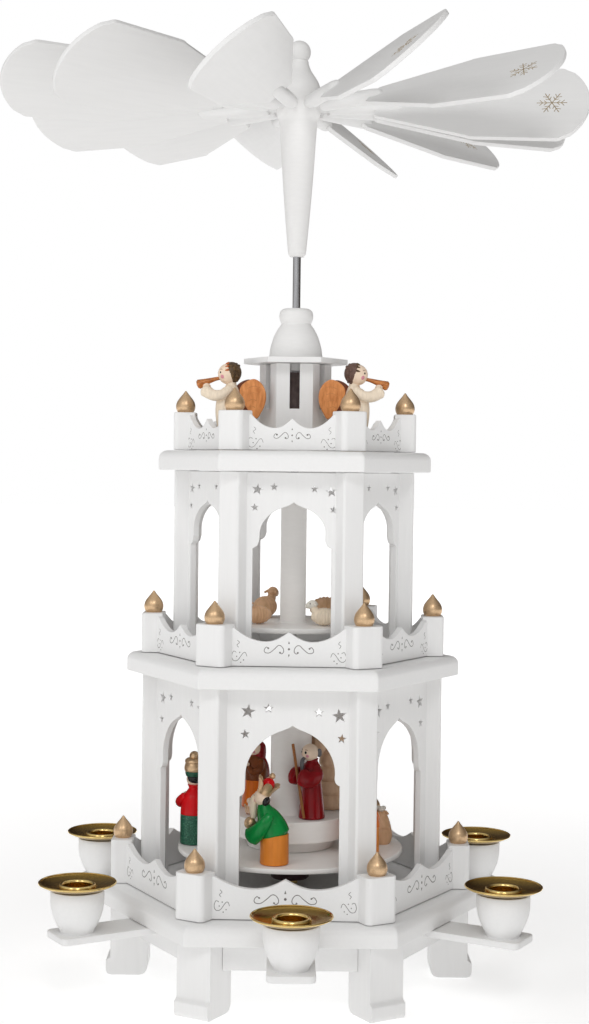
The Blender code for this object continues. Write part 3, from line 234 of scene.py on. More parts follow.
# Dark brown of the boss under the lower disc.
BOSS_BROWN = paint("dark_brown_boss", (0.06, 0.03, 0.03), 0.5, 0.25, COARSE, 0.1)
GOLD_PAINT = paint("gold_paint", (0.68, 0.47, 0.28), 0.36, 0.14, (1400, 1400, 1400), 0.2, metallic=0.8)
# Brass darkened well below its own reflectance for the dish: painted shade, standing for the dark
# surroundings it reflects.
BRASS_DISH_SHADED = turned_metal("brass_dish_painted_shade", (0.42, 0.27, 0.07), 0.2, RINGS)
BRASS_BRIGHT = turned_metal("brass_rolled_edge", (0.9, 0.66, 0.26), 0.16, (900, 900, 2400))
BRASS_SOCKET = turned_metal("brass_socket", (0.78, 0.52, 0.08), 0.2, RINGS)
STEEL = turned_metal("drawn_steel", (0.62, 0.62, 0.64), 0.18, (2600, 2600, 60), relief=0.03)
BURNED = paint("burned_line", (0.2, 0.185, 0.175), 0.7, 0.35, FINE, 0.2)
BURNED_SNOW = paint("burned_snowflake", (0.36, 0.27, 0.15), 0.7, 0.4, FINE, 0.2)
GREEN = lacquer("green_gloss", (0.001, 0.22, 0.042), 0.16, 0.16)
GREEN_BAND = paint("deep_green", (0.01, 0.09, 0.05), 0.3, 0.3, (420, 420, 420), 0.1, coat=0.08)
SKIRT = speckled("speckled_green", (0.004, 0.075, 0.04), (0.12, 0.3, 0.2))
RED = lacquer("red_gloss", (0.68, 0.004, 0.008), 0.14, 0.12)
DARK_RED = lacquer("dark_red_gloss", (0.26, 0.005, 0.009), 0.2, 0.14)
ORANGE_TONES = ((0.74, 0.25, 0.035), (0.66, 0.2, 0.025))
ORANGE = paint("orange_stain", ORANGE_TONES[0], 0.36, 0.1, LENGTHWISE, 0.1, dark=ORANGE_TONES[1], gloss=0.22)
DEEP_TONES = ((0.72, 0.17, 0.01), (0.58, 0.11, 0.008))
DEEP_ORANGE = paint(
    "deep_orange_stain", DEEP_TONES[0], 0.34, 0.12, (420, 420, 60), 0.1, dark=DEEP_TONES[1], gloss=0.2
)
WING = paint("wing_stain", (0.72, 0.3, 0.1), 0.42, 0.2, BOARD, 0.2, dark=(0.54, 0.18, 0.05))
FEATHER = paint("feather_line", (0.56, 0.21, 0.07), 0.45, 0.2, EVEN, 0.1)
# Darker copy of the wing stain for the far wing and the stubs: painted shade.
WING_SHADED = paint("wing_painted_shade", (0.24, 0.07, 0.03), 0.45, 0.25, BOARD, 0.2)
HORN_DARK = (0.32, 0.1, 0.025)
HORN = paint("horn_stain", (0.52, 0.19, 0.05), 0.3, 0.3, (300, 900, 900), 0.15, coat=0.08, dark=HORN_DARK)
BROWN = paint("brown_stain", (0.2, 0.055, 0.015), 0.3, 0.25, TURNED, 0.1, coat=0.06, gloss=0.2)
CREAM = paint("cream_wood", (0.88, 0.75, 0.59), 0.42, 0.1, (700, 700, 90), 0.16)
FLESH = paint("face_paint", (0.88, 0.7, 0.54), 0.4, 0.05, COARSE, 0.06)
CHEEK = paint("cheek_pink", (0.72, 0.3, 0.36), 0.5, 0.12, FINE, 0.08)
BEARD = paint("pale_beard", (0.86, 0.73, 0.57), 0.5, 0.16, HAIRY, 0.3)
GREY = paint("grey_hair", (0.16, 0.155, 0.16), 0.5, 0.25, HAIRY, 0.3)
BLACK = paint("black_paint", (0.012, 0.011, 0.012), 0.22, 0.3, (600, 600, 600), 0.1, coat=0.08)
HAIR = paint("brown_hair", (0.13, 0.075, 0.03), 0.4, 0.4, (900, 900, 300), 0.4, dark=(0.04, 0.022, 0.01))
HAIR_MAUVE = paint("mauve_brown_hair", (0.15, 0.085, 0.065), 0.45, 0.3, (900, 900, 300), 0.35)
LOCK = paint("orange_lock", (0.5, 0.13, 0.03), 0.4, 0.2, FINE, 0.2)
TAN = paint("tan_wood", (0.72, 0.45, 0.27), 0.42, 0.12, TURNED, 0.14, dark=(0.6, 0.36, 0.2))
PALE_WOOD = paint("pale_wood", (0.74, 0.53, 0.36), 0.42, 0.1, TURNED, 0.12, dark=(0.64, 0.43, 0.28))
WOOL = paint("wool_white", (0.82, 0.78, 0.7), 0.5, 0.1, FINE, 0.25)
STAFF = paint("staff_wood", (0.36, 0.14, 0.04), 0.36, 0.25, (900, 900, 120), 0.2)


# Drawing

def new_mesh(shape):
    """Mesh from a bmesh, its faces turned outwards."""
    bmesh.ops.recalc_face_normals(shape, faces=shape.faces)
    mesh = bpy.data.meshes.new("part")
    shape.to_mesh(mesh)
    shape.free()
    return mesh


def through(points, per=6, closed=False):
    """Smooth run of points through the given ones, of any dimension."""
    count = len(points)
    result = []
    for index in range(count if closed else count - 1):
        if closed:
            four = [points[(index + offset) % count] for offset in (-1, 0, 1, 2)]
        else:
            four = [points[max(0, min(count - 1, index + offset))] for offset in (-1, 0, 1, 2)]
        for step in range(per):
            t = step / per
            weights = (
                -0.5 * t + t * t - 0.5 * t**3,
                1 - 2.5 * t * t + 1.5 * t**3,
                0.5 * t + 2 * t * t - 1.5 * t**3,
                -0.5 * t * t + 0.5 * t**3,
            )
            result.append(
                tuple(sum(w * p[axis] for w, p in zip(weights, four)) for axis in range(len(points[0])))
            )
    if not closed:
        result.append(tuple(points[-1]))
    return result


def bridge(shape, first, second):
    """Band of faces between two rings of points."""
    for step in range(len(first)):
        after = (step + 1) % len(first)
        shape.faces.new((first[step], second[step], second[after], first[after]))


def fan(shape, tip, ring):
    """Faces from a tip to a ring of points."""
    for step in range(len(ring)):
        shape.faces.new((tip, ring[step], ring[(step + 1) % len(ring)]))


def circle_angles(count):
    """Angles of equal steps round a circle, in radians."""
    return [2 * math.pi * step / count for step in range(count)]


def lathe(profile, steps=64, closed=False):
    """Solid of revolution of a profile of (radius, height); a closed one leaves a bore."""
    shape = bmesh.new()
    rings = []
    angles = circle_angles(steps)
    for radius, height in profile:
        if radius < 1e-4:
            rings.append([shape.verts.new((0.0, 0.0, height))])
        else:
            points = [(radius * math.cos(a), radius * math.sin(a), height) for a in angles]
            rings.append([shape.verts.new(point) for point in points])
    pairs = list(zip(rings, rings[1:]))
    if closed:
        pairs.append((rings[-1], rings[0]))
    for first, second in pairs:
        if len(first) == len(second) == steps:
            bridge(shape, first, second)
        elif len(first) == steps:
            fan(shape, second[0], first)
        elif len(second) == steps:
            fan(shape, first[0], second)
    return new_mesh(shape)


def board(outlines, thickness, edge):
    """Board in the XY plane about z = 0 with eased edges; inner outlines are openings."""
    curve = bpy.data.curves.new("board", "CURVE")
    curve.dimensions = "2D"
    curve.fill_mode = "BOTH"
    curve.extrude = thickness / 2 - edge
    curve.bevel_depth = edge
    curve.bevel_resolution = 1
    curve.offset = -edge
    for outline in outlines:
        spline = curve.splines.new("POLY")
        spline.points.add(len(outline) - 1)
        for point, (x, y) in zip(spline.points, outline):
            point.co = (x, y, 0.0, 1.0)
        spline.use_cyclic_u = True
    holder = bpy.data.objects.new("board", curve)
    bpy.context.scene.collection.objects.link(holder)
    evaluated = holder.evaluated_get(bpy.context.evaluated_depsgraph_get())
    mesh = bpy.data.meshes.new_from_object(evaluated)
    bpy.data.objects.remove(holder, do_unlink=True)
    bpy.data.curves.remove(curve)
    shape = bmesh.new()
    shape.from_mesh(mesh)
    bpy.data.meshes.remove(mesh)
    bmesh.ops.remove_doubles(shape, verts=shape.verts, dist=0.001)
    return new_mesh(shape)


def turned(profile, per=4, steps=56):
    """Turned body of a smooth profile, closed flat at both ends."""
    return lathe([(0.0, profile[0][1])] + through(profile, per) + [(0.0, profile[-1][1])], steps)


HOLE_STEPS = 48


def prism(outline_at, levels, hole=0.0):
    """Upright body whose outline at each inset comes from a function, with a bore where asked."""
    shape = bmesh.new()
    rings = []
    for height, inset in levels:
        rings.append([shape.verts.new((x, y, height)) for x, y in outline_at(inset)])
    for first, second in zip(rings, rings[1:]):
        bridge(shape, first, second)
    if hole <= 0:
        shape.faces.new(rings[0])
        shape.faces.new(rings[-1])
        return new_mesh(shape)
    bores = []
    for ring in (rings[0], rings[-1]):
        height = ring[0].co.z
        points = [(hole * math.cos(a), hole * math.sin(a), height) for a in circle_angles(HOLE_STEPS)]
        circle = [shape.verts.new(point) for point in points]
        bores.append(circle)
        edges = []
        for loop in (ring, circle):
            for index in range(len(loop)):
                pair = (loop[index], loop[(index + 1) % len(loop)])
                edges.append(shape.edges.get(pair) or shape.edges.new(pair))
        bmesh.ops.triangle_fill(shape, use_beauty=True, use_dissolve=False, edges=edges)
    bridge(shape, *bores)
    return new_mesh(shape)


def steps_along(path):
    """Each point of a path with the direction of the path there."""
    for index, centre in enumerate(path):
        along = path[min(index + 1, len(path) - 1)] - path[max(index - 1, 0)]
        yield centre, along.normalized()


CAP_EDGE = 0.7
CAP_SHOULDER = 0.35
CAP_TIP = 0.5


def tube(points, radii, sides=20, per=6, squash=1.0):
    """Rounded limb along a smooth path; squash narrows or widens it along Y."""
    path = [Vector(point) for point in through(points, per)]
    sizes = [size[0] for size in through([(radius,) for radius in radii], per)]
    shape = bmesh.new()
    rings = []
    across = Vector((0.0, 1.0, 0.0))
    for (centre, along), size in zip(steps_along(path), sizes):
        first = across - along * across.dot(along)
        if first.length < 1e-4:
            first = along.orthogonal()
        first.normalize()
        second = along.cross(first)
        ring = []
        for angle in circle_angles(sides):
            offset = first * math.cos(angle) * squash + second * math.sin(angle)
            ring.append(shape.verts.new(centre + offset * max(size, 0.02)))
        rings.append(ring)
    for first, second in zip(rings, rings[1:]):
        bridge(shape, first, second)
    for ring, end, before, size in (
        (rings[0], path[0], path[1], sizes[0]),
        (rings[-1], path[-1], path[-2], sizes[-1]),
    ):
        along = (end - before).normalized()
        shoulder = end + along * CAP_SHOULDER * size
        inner = [shape.verts.new(shoulder + (v.co - end) * CAP_EDGE) for v in ring]
        bridge(shape, ring, inner)
        fan(shape, shape.verts.new(end + along * CAP_TIP * size), inner)
    return new_mesh(shape)


def ball(radius, x=0.0, y=0.0, z=0.0, squash=(1, 1, 1), detail=24):
    """Turned bead, squashed to an egg or a dab where asked."""
    shape = bmesh.new()
    bmesh.ops.create_uvsphere(shape, u_segments=detail, v_segments=detail * 2 // 3, radius=radius)
    mesh = new_mesh(shape)
    mesh.transform(shift(x, y, z) @ stretch(*squash))
    return mesh


def dab(centre, radius, direction, size, long=1.0, proud=0.25):
    """Flat dab of paint on a ball-shaped head, where a direction from its middle meets it."""
    way = Vector(direction).normalized()
    aim = way.to_track_quat("Z", "Y").to_matrix().to_4x4()
    place = Matrix.Translation(Vector(centre) + way * radius * 0.985)
    mesh = ball(size, detail=12)
    mesh.transform(place @ aim @ stretch(1.0, long, proud))
    return mesh


def stroke(points, width, height, per=5):
    """Raised line along a smooth path in the XY plane, sunk as deep as it stands proud."""
    path = [Vector((x, y, 0.0)) for x, y in through(points, per)]
    shape = bmesh.new()
    rings = []
    up = Vector((0.0, 0.0, height))
    for centre, along in steps_along(path):
        across = Vector((-along.y, along.x, 0.0)) * width / 2
        corners = (-across - up, up - across * 0.8, up + across * 0.8, across - up)
        rings.append([shape.verts.new(centre + corner) for corner in corners])
    for first, second in zip(rings, rings[1:]):
        bridge(shape, first, second)
    shape.faces.new(rings[0])
    shape.faces.new(rings[-1])
    return new_mesh(shape)


STAR_INNER = 0.42


def star(x, y, radius, tilt):
    """Outline of a five-pointed star."""
    outline = []
    for index in range(10):
        reach = radius if index % 2 == 0 else STAR_INNER * radius
        angle = math.radians(90 + tilt) + math.pi * index / 5
        outline.append((x + reach * math.cos(angle), y + reach * math.sin(angle)))
    return outline


def corner_arc(x, y, radius, start, end, count=5):
    """Points of a quarter round, angles in degrees."""
    points = []
    for index in range(count):
        angle = math.radians(start + (end - start) * index / (count - 1))
        points.append((x + radius * math.cos(angle), y + radius * math.sin(angle)))
    return points


def rounded(half_width, half_depth, corners):
    """Rectangle with rounded corners, each given as (radius, points), from the back right one on."""
    points = []
    signs = ((1, 1), (-1, 1), (-1, -1), (1, -1))
    for index, ((x, y), (radius, count)) in enumerate(zip(signs, corners)):
        centre = (x * (half_width - radius), y * (half_depth - radius))
        points += corner_arc(*centre, radius, 90 * index, 90 * index + 90, count)
    return points


SHARP_ANGLE = 38


class Piece:
    """One object of the scene, put together from parts with a paint each."""

    def __init__(self, name, place=None):
        self.name = name
        self.place = place
        self.shape = bmesh.new()
        self.paints = []

    def add(self, mesh, color, matrix=None):
        """Put a part into the piece."""
        if color not in self.paints:
            self.paints.append(color)
        if matrix is not None:
            mesh.transform(matrix)
        start = len(self.shape.faces)
        self.shape.from_mesh(mesh)
        bpy.data.meshes.remove(mesh)
        self.shape.faces.ensure_lookup_table()
        for face in self.shape.faces[start:]:
            face.material_index = self.paints.index(color)
            face.smooth = True

    def beads(self, color, *places):
        """Put in turned beads, each given as its radius, its place and what it is squashed by."""
        for place in places:
            self.add(ball(*place), color)

    def mesh(self):
        """The finished mesh, in metres."""
        mesh = bpy.data.meshes.new(self.name)
        self.shape.to_mesh(mesh)
        self.shape.free()
        if self.place is not None:
            mesh.transform(self.place)
        mesh.transform(Matrix.Scale(TO_METRES, 4))
        mesh.set_sharp_from_angle(angle=math.radians(SHARP_ANGLE))
        for color in self.paints:
            mesh.materials.append(color)
        return mesh

    def finish(self, body, slot, *nodes):
        """Make the object."""
        return show(self.name, self.mesh(), body, slot, *nodes)


def show(name, mesh, body, slot, *nodes, matrix=None):
    """Object of a mesh that rides on a body and stands for CAD nodes."""
    piece = bpy.data.objects.new(name, mesh)
    bpy.context.scene.collection.objects.link(piece)
    if matrix is not None:
        piece.matrix_world = matrix
    normals = piece.modifiers.new("even_normals", "WEIGHTED_NORMAL")
    normals.keep_sharp = True
    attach(piece, body)
    if nodes:
        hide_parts(*nodes)
    return piece


def dress(node, color, edge=0.0):
    """Keep a CAD node: its paint, and a small round on its sharp edges."""
    piece = NODES[node]
    piece.data.materials.clear()
    piece.data.materials.append(color)
    piece.data.shade_smooth()
    piece.data.set_sharp_from_angle(angle=math.radians(35))
    if edge > 0:
        easing = piece.modifiers.new("eased", "BEVEL")
        easing.width = edge * TO_METRES
        easing.segments = 2
        easing.limit_method = "ANGLE"
        easing.angle_limit = math.radians(40)
        easing.harden_normals = True


# Plates and legs

PLATE_ROUND = 5.0
BASE_RADIUS = 125.8
MIDDLE_RADIUS = 107.3
TOP_RADIUS = 87.9
PLATE_CORNER = 1.6


def hexagon(radius, inset):
    """Hexagon with softened corners, drawn in by an inset."""
    points = []
    drawn = radius - inset / COS30
    for azimuth in CORNERS:
        x, y = polar(drawn - PLATE_CORNER / COS30, azimuth)
        for step in (-30, -10, 10, 30):
            dx, dy = polar(PLATE_CORNER, azimuth + step)
            points.append((x + dx, y + dy))
    return points


def plate(name, radius, hole, azimuth=0.0):
    """Hexagonal plate with a rounded top edge and an eased lower one."""
    base = low(name)
    top = high(name)
    levels = [(base, 0.7), (base + 0.25, 0.2), (base + 0.8, 0.0)]
    for step in range(9):
        angle = math.pi / 2 * step / 8
        levels.append((top - PLATE_ROUND * (1 - math.sin(angle)), PLATE_ROUND * (1 - math.cos(angle))))
    piece = Piece(name + "_board", turn(azimuth))
    piece.add(prism(lambda inset: hexagon(radius, inset), levels, hole), WHITE)
    piece.finish("tower", "white_lacquer", name)


LEG_OUTER = BASE_RADIUS - 11.0
LEG_WIDTH = 24.0
LEG_DEPTH = 24.0


def legs():
    """Six stepped legs, each a block with a moulded foot."""
    top = high("leg_1")
    outer = LEG_OUTER
    inner = outer - LEG_DEPTH
    profile = [(inner, top)]
    profile += through([(inner, 6.4), (inner + 0.5, 3.6), (inner + 2.2, 1.1), (inner + 5.2, 0.0)], 3)
    profile += through([(outer - 0.4, 0.0), (outer + 1.9, 0.9), (outer + 2.8, 3.4)], 3)
    profile += through([(outer + 2.8, 8.8), (outer + 2.5, 9.9), (outer + 0.5, 11.3), (outer, 12.6)], 3)
    profile += [(outer, top)]
    for index, azimuth in enumerate(CORNERS):
        leg = Piece(f"leg_{index + 1}_block", turn(azimuth + BASE_TURN) @ turn(-90) @ UPRIGHT)
        leg.add(board([profile], LEG_WIDTH, 0.8), WHITE_UPRIGHT)
        leg.finish("tower", "white_lacquer", f"leg_{index + 1}")


# Galleries

POST_DEPTH = 14.0
POST_ROUND = 3.6
FINIAL_RADIUS = 6.2
FINIAL_HEIGHT = 14.0
FENCE_THICKNESS = 4.0
PEAK_RISE = 6.2


def post_outline(width, inset):
    """Plan of a post: its two outer edges are rounded, the inner ones just eased."""
    outer = (max(POST_ROUND - inset, 0.4), 7)
    inner = (max(1.0 - inset, 0.3), 3)
    return rounded(width / 2 - inset, POST_DEPTH / 2 - inset, (inner, inner, outer, outer))


# Profile from the tip down, as shares of the finial's radius and height
FINIAL_SHARES = (
    (0.0, 1.0), (0.1, 0.965), (0.3, 0.84), (0.6, 0.68), (0.88, 0.5), (1.0, 0.31), (0.96, 0.13), (0.8, 0.0),
)


def finial_profile():
    """Onion finial with a short foot."""
    outline = through([(x * FINIAL_RADIUS, z * FINIAL_HEIGHT) for x, z in FINIAL_SHARES], 5)
    return [(max(x, 0.0), z) for x, z in outline] + [(0.8 * FINIAL_RADIUS, -0.3), (0.0, -0.3)]


def fence_outline(ring, trough, post_height, post_width):
    """Front of a fence between two posts: two sagging curves that meet in a point."""
    inside_post = ring / 2 - post_width / 4
    post_side = ring / 2 - post_width / 2 / COS30
    trough_at = 0.43 * post_side
    top = post_height - 2.2
    half = [(0.0, trough + PEAK_RISE - 0.25)]
    for step in range(1, 9):
        share = step / 8
        half.append((share * trough_at, trough + PEAK_RISE * (1 - share) ** 2))
    for step in range(1, 9):
        share = step / 8
        half.append((trough_at + share * (post_side - trough_at), trough + (top - trough) * share**2))
    half.append((inside_post, top))
    left = [(-x, y) for x, y in half[1:]]
    return [(-inside_post, 0.2), (inside_post, 0.2)] + half[::-1] + left


# Burned lines as drawn on the base gallery, from the middle of a fence
SCROLL = (
    (-15.5, 0.5), (-17.0, 1.3), (-18.5, -0.6), (-18.1, -2.2), (-16.3, -2.8), (-14.1, -2.4), (-10.7, 0.15),
    (-8.1, 2.4), (-5.9, 2.2), (-4.2, 0.15), (-4.1, -2.1), (-5.6, -3.2), (-6.7, -2.4),
)
SPRIG_TOP = ((38.9, 6.0), (37.6, 4.6), (39.2, 3.2), (38.2, 1.8))
SPRIG = (
    (32.6, -3.6), (33.7, -1.3), (35.2, -1.7), (36.7, -3.6), (38.9, -6.1), (41.5, -6.1), (42.6, -3.6),
    (41.5, -0.6), (39.6, -1.2),
)
SPRIG_DOTS = ((37.4, -1.3), (39.3, -3.7), (34.8, -5.8), (36.7, -7.3))
LINE_WIDTH = 0.55
LINE_PROUD = 0.05


def scrollwork(piece, matrix, reach, sprig_at, dot_height, weight):
    """Burned scrolls about the middle of a fence, and a sprig near each of its ends."""

    def line(points, width=LINE_WIDTH):
        piece.add(stroke(points, width * weight, LINE_PROUD, 4), BURNED, matrix)

    def dot(x, y, size):
        profile = [(0.0, LINE_PROUD), (0.8 * size, LINE_PROUD), (size, -LINE_PROUD), (0.0, -LINE_PROUD)]
        piece.add(lathe(profile, 10), BURNED, matrix @ shift(x, y))

    def triangle(y, size):
        outline = [(-0.62 * abs(size), y), (0.62 * abs(size), y), (0.0, y + 2 * size)]
        piece.add(board([outline], 2 * LINE_PROUD, 0.01), BURNED, matrix)

    for mirror in (-1, 1):
        path = [(-mirror * x * reach, dot_height + y * min(1.0, reach + 0.08)) for x, y in SCROLL]
        line(path)
        dot(*path[0], 0.62)
        dot(*path[-1], 0.62)
        moved = [
            [(mirror * (sprig_at + (x - 38.3) * 0.92), dot_height - 1.0 + y) for x, y in group]
            for group in (SPRIG_TOP, SPRIG, SPRIG_DOTS)
        ]
        line(moved[0], 0.4)
        line(moved[1], 0.4)
        for x, y in moved[2]:
            dot(x, y, 0.42)
    dot(0.0, dot_height, 0.95 * reach)
    triangle(dot_height + 3.2, 1.05 * reach)
    triangle(dot_height - 3.2, -1.05 * reach)


def gallery(name, ring, post_height, post_width, trough, reach, sprig_at, dot_height, weight):
    """Six posts with gold onion finials and the six scroll-sawn fences between them."""
    floor = low(name)
    piece = Piece(name + "_woodwork")
    outline = fence_outline(ring, trough, post_height, post_width)
    levels = [(0.0, 0.5), (0.3, 0.0)]
    levels += [(post_height - 0.9, 0.0), (post_height - 0.3, 0.2), (post_height, 0.8)]
    for azimuth in CORNERS:
        place = side(azimuth, ring, floor)
        piece.add(prism(lambda inset: post_outline(post_width, inset), levels), WHITE_UPRIGHT, place)
        piece.add(lathe(finial_profile(), 40), GOLD_PAINT, place @ shift(0, 0, post_height))
    for azimuth in FACES:
        place = side(azimuth, ring * COS30, floor) @ UPRIGHT
        piece.add(board([outline], FENCE_THICKNESS, 0.5), WHITE, place)
        face = place @ shift(0, 0, FENCE_THICKNESS / 2)
        scrollwork(piece, face, reach, sprig_at, dot_height, weight)
    piece.finish("tower", "white_lacquer", name)


# Arcades

PILLAR_WIDTH = 15.0
PANEL_THICKNESS = 4.0
ARCH_POINT = 2.1
ARCH_SLOPE = 0.087
NECK_DROP = 5.2


def arch_half(half, peak, crown, step_out):
    """Right half of an arch opening, from its point down to its wider lower part."""
    points = []
    round_crown = crown - ARCH_POINT - ARCH_SLOPE * half
    for step in range(19):
        share = math.sin(math.pi / 2 * (step / 18) ** 1.25)
        fall = round_crown * (1 - math.sqrt(max(0.0, 1 - share**2)))
        fall += ARCH_SLOPE * share * half + ARCH_POINT * (1 - math.exp(-10 * share))
        points.append((share * half, peak - fall))
    neck = peak - crown - NECK_DROP
    notch = [(0.0, 1.2), (0.12 * step_out, -0.5), (0.4 * step_out, -0.65 * step_out), (step_out, -step_out)]
    return points + through([(half + x, neck + y) for x, y in notch], 3)


def moved_arch(opening, peak, neck, slide, drops):
    """Arch opening slid aside, more so above, with the notches of its two sides lowered."""
    moved = []
    for x, y in opening:
        drop = drops[0 if x < 0 else 1] if 1.0 < y < neck + 1.0 else 0.0
        lean = 0.4 + 0.45 * max(0.0, (y - neck) / (peak - neck))
        moved.append((x + slide * lean, y - drop))
    return moved


PILLAR_EASE = 1.8


def arcade(name, ring, half_width, peak, crown, step_out, stars, front_slide, front_drops):
    """Six pillars and the six arched panels between them, with stars cut through.

    The front panel's openings lie a little to the right of its middle, as on the photograph.
    """
    floor = low(name)
    height = high(name) - floor
    piece = Piece(name + "_woodwork")

    def square(inset):
        half_side = PILLAR_WIDTH / 2 - inset
        return rounded(half_side, half_side, [(PILLAR_EASE, 4)] * 4)

    levels = [(0.0, 0.3), (0.3, 0.0), (height - 0.3, 0.0), (height, 0.3)]
    for azimuth in CORNERS:
        piece.add(prism(square, levels), WHITE_UPRIGHT, side(azimuth, ring, floor))
    half = arch_half(half_width, peak, crown, step_out)
    edge = ring / 2 - PILLAR_WIDTH / 4
    jamb = half_width + step_out
    opening = [(-jamb, 0.3)] + [(-x, y) for x, y in half[:0:-1]] + half + [(jamb, 0.3)]
    neck = peak - crown - NECK_DROP + 1.0
    for azimuth in FACES:
        slide = front_slide if azimuth == 0 else 0.0
        drops = front_drops if azimuth == 0 else (0.0, 0.0)
        outline = [(-edge, 0.3)] + moved_arch(opening, peak, neck, slide, drops)
        outline += [(edge, 0.3), (edge, height - 0.3), (-edge, height - 0.3)]
        holes = []
        for index, (x, z, size) in enumerate(stars):
            for mirror in (-1, 1):
                tilt = mirror * (8 - 7 * index)
                holes.append(star(mirror * x + slide, z - floor - 0.3 * mirror * slide, size, tilt))
        place = side(azimuth, ring * COS30, floor) @ UPRIGHT
        piece.add(board([outline] + holes, PANEL_THICKNESS, 0.35), WHITE_UPRIGHT, place)
    piece.finish("tower", "white_lacquer", name)


# Stars beside the middle of a panel: distance from it, height and radius
LOWER_STARS = ((27.5, 179.0, 4.4), (15.2, 180.9, 2.9), (29.1, 165.2, 2.9))
UPPER_STARS = ((22.5, 313.0, 3.4), (12.3, 314.6, 2.3), (24.0, 302.0, 2.35))


# Candle holders

ARM_WIDTH = 28.0
ARM_THICKNESS = 4.5
ARM_REACH = 164.0
ARM_INNER = 74.1
CUP_RING = 149.0
CUP_RADIUS = 16.3
CUP_HEIGHT = 25.6
CUP_FOOT = 10.2
CUP_BORE = 9.9
ARM_TOP = 44.9
ARM_CORNER = 4.0
CUP_SHARES = ((1.0, 0.82), (0.99, 0.66), (0.95, 0.5), (0.865, 0.33), (0.75, 0.17))
BORE_DEPTH = 13.0


def candle_arm_parts():
    """Board with rounded corners and the turned cup glued on it, at the front."""
    half = ARM_WIDTH / 2
    outline = [(half, -ARM_INNER), (-half, -ARM_INNER)]
    outline += corner_arc(-half + ARM_CORNER, -ARM_REACH + ARM_CORNER, ARM_CORNER, 180, 270)
    outline += corner_arc(half - ARM_CORNER, -ARM_REACH + ARM_CORNER, ARM_CORNER, 270, 360)
    flat_board = board([outline], ARM_THICKNESS, 0.9)
    flat_board.transform(shift(0, 0, ARM_TOP - ARM_THICKNESS / 2))
    curve = [(CUP_RADIUS - 0.5, CUP_HEIGHT), (CUP_RADIUS, CUP_HEIGHT - 0.5)]
    curve += [(x * CUP_RADIUS, z * CUP_HEIGHT) for x, z in CUP_SHARES]
    curve += [(1.02 * CUP_FOOT, 0.045 * CUP_HEIGHT), (CUP_FOOT, 0.0)]
    floor = CUP_HEIGHT - BORE_DEPTH
    inside = [(0.0, floor), (CUP_BORE, floor), (CUP_BORE, CUP_HEIGHT - 0.4), (CUP_BORE + 0.4, CUP_HEIGHT)]
    cup = lathe(inside + through(curve, 4) + [(CUP_FOOT, -0.4), (0.0, -0.4)], 72)
    cup.transform(shift(0, -CUP_RING, ARM_TOP))
    return flat_board, cup


PAN_RIM = 23.8
BEAD_INNER = 8.8
BEAD_OUTER = 11.4
SOCKET = (
    (0.0, -9.7), (8.2, -9.7), (8.8, -9.0), (8.8, 2.0), (9.5, 2.0), (9.6, -10.0), (9.0, -10.5), (0.0, -10.5),
)


def hoop(middle, height, half_width, half_height, points, steps):
    """Ring of oval section round the axis."""
    section = []
    for angle in circle_angles(points):
        section.append((middle + half_width * math.cos(angle), height + half_height * math.sin(angle)))
    return lathe(section, steps, closed=True)


def pan_parts():
    """Pressed dish, its rolled rim, the beaded candle ring and the socket."""
    dish = through([(11.0, 0.9), (14.0, 1.0), (18.0, 1.75), (21.4, 3.0), (23.0, 4.0)], 5)
    under = through([(23.1, 3.5), (21.2, 2.3), (18.0, 1.0), (14.0, 0.15), (9.9, 0.0)], 4)
    sheet = lathe(dish + under + [(9.6, 0.6)], 96, closed=True)
    edge = hoop(PAN_RIM - 0.62, 4.0, 0.6, 0.58, 9, 96)
    ring = hoop((BEAD_INNER + BEAD_OUTER) / 2, 1.75, 1.3, 1.62, 12, 72)
    return sheet, edge, ring, lathe(SOCKET, 64)


def candle_holders():
    """Six arms with their cups, and the six brass pans in the cups."""
    floor = high("candle_arm_1") + GAP
    for index, azimuth in enumerate(FACES):
        around = turn(azimuth + BASE_TURN)
        arm = Piece(f"candle_arm_{index + 1}_wood")
        for part in candle_arm_parts():
            arm.add(part, WHITE, around)
        arm.finish("tower", "white_lacquer", f"candle_arm_{index + 1}")
        name = f"candle_pan_{index + 1}"
        pan = Piece(name + "_brass")
        # The dish takes the darkened brass, painted shade; rim, bead ring and socket keep brighter brass.
        for part, color in zip(pan_parts(), (BRASS_DISH_SHADED, BRASS_BRIGHT, BRASS_BRIGHT, BRASS_SOCKET)):
            pan.add(part, color)
        place = around @ shift(0, -CUP_RING, floor)
        place.translation *= TO_METRES
        show(name + "_brass", pan.mesh(), "tower", "brass_plate", name, matrix=place)


# Dome, spindle and rotor

SPIGOT = 8.0
DOME_RADIUS = 17.4
DOME_NECK = 9.6
DOME_BEAD = 10.9
DOME_HEIGHT = 32.0
SPINDLE_BORE = 3.1
BUSH_BORE = 4.8
BUSH_DEPTH = 14.0


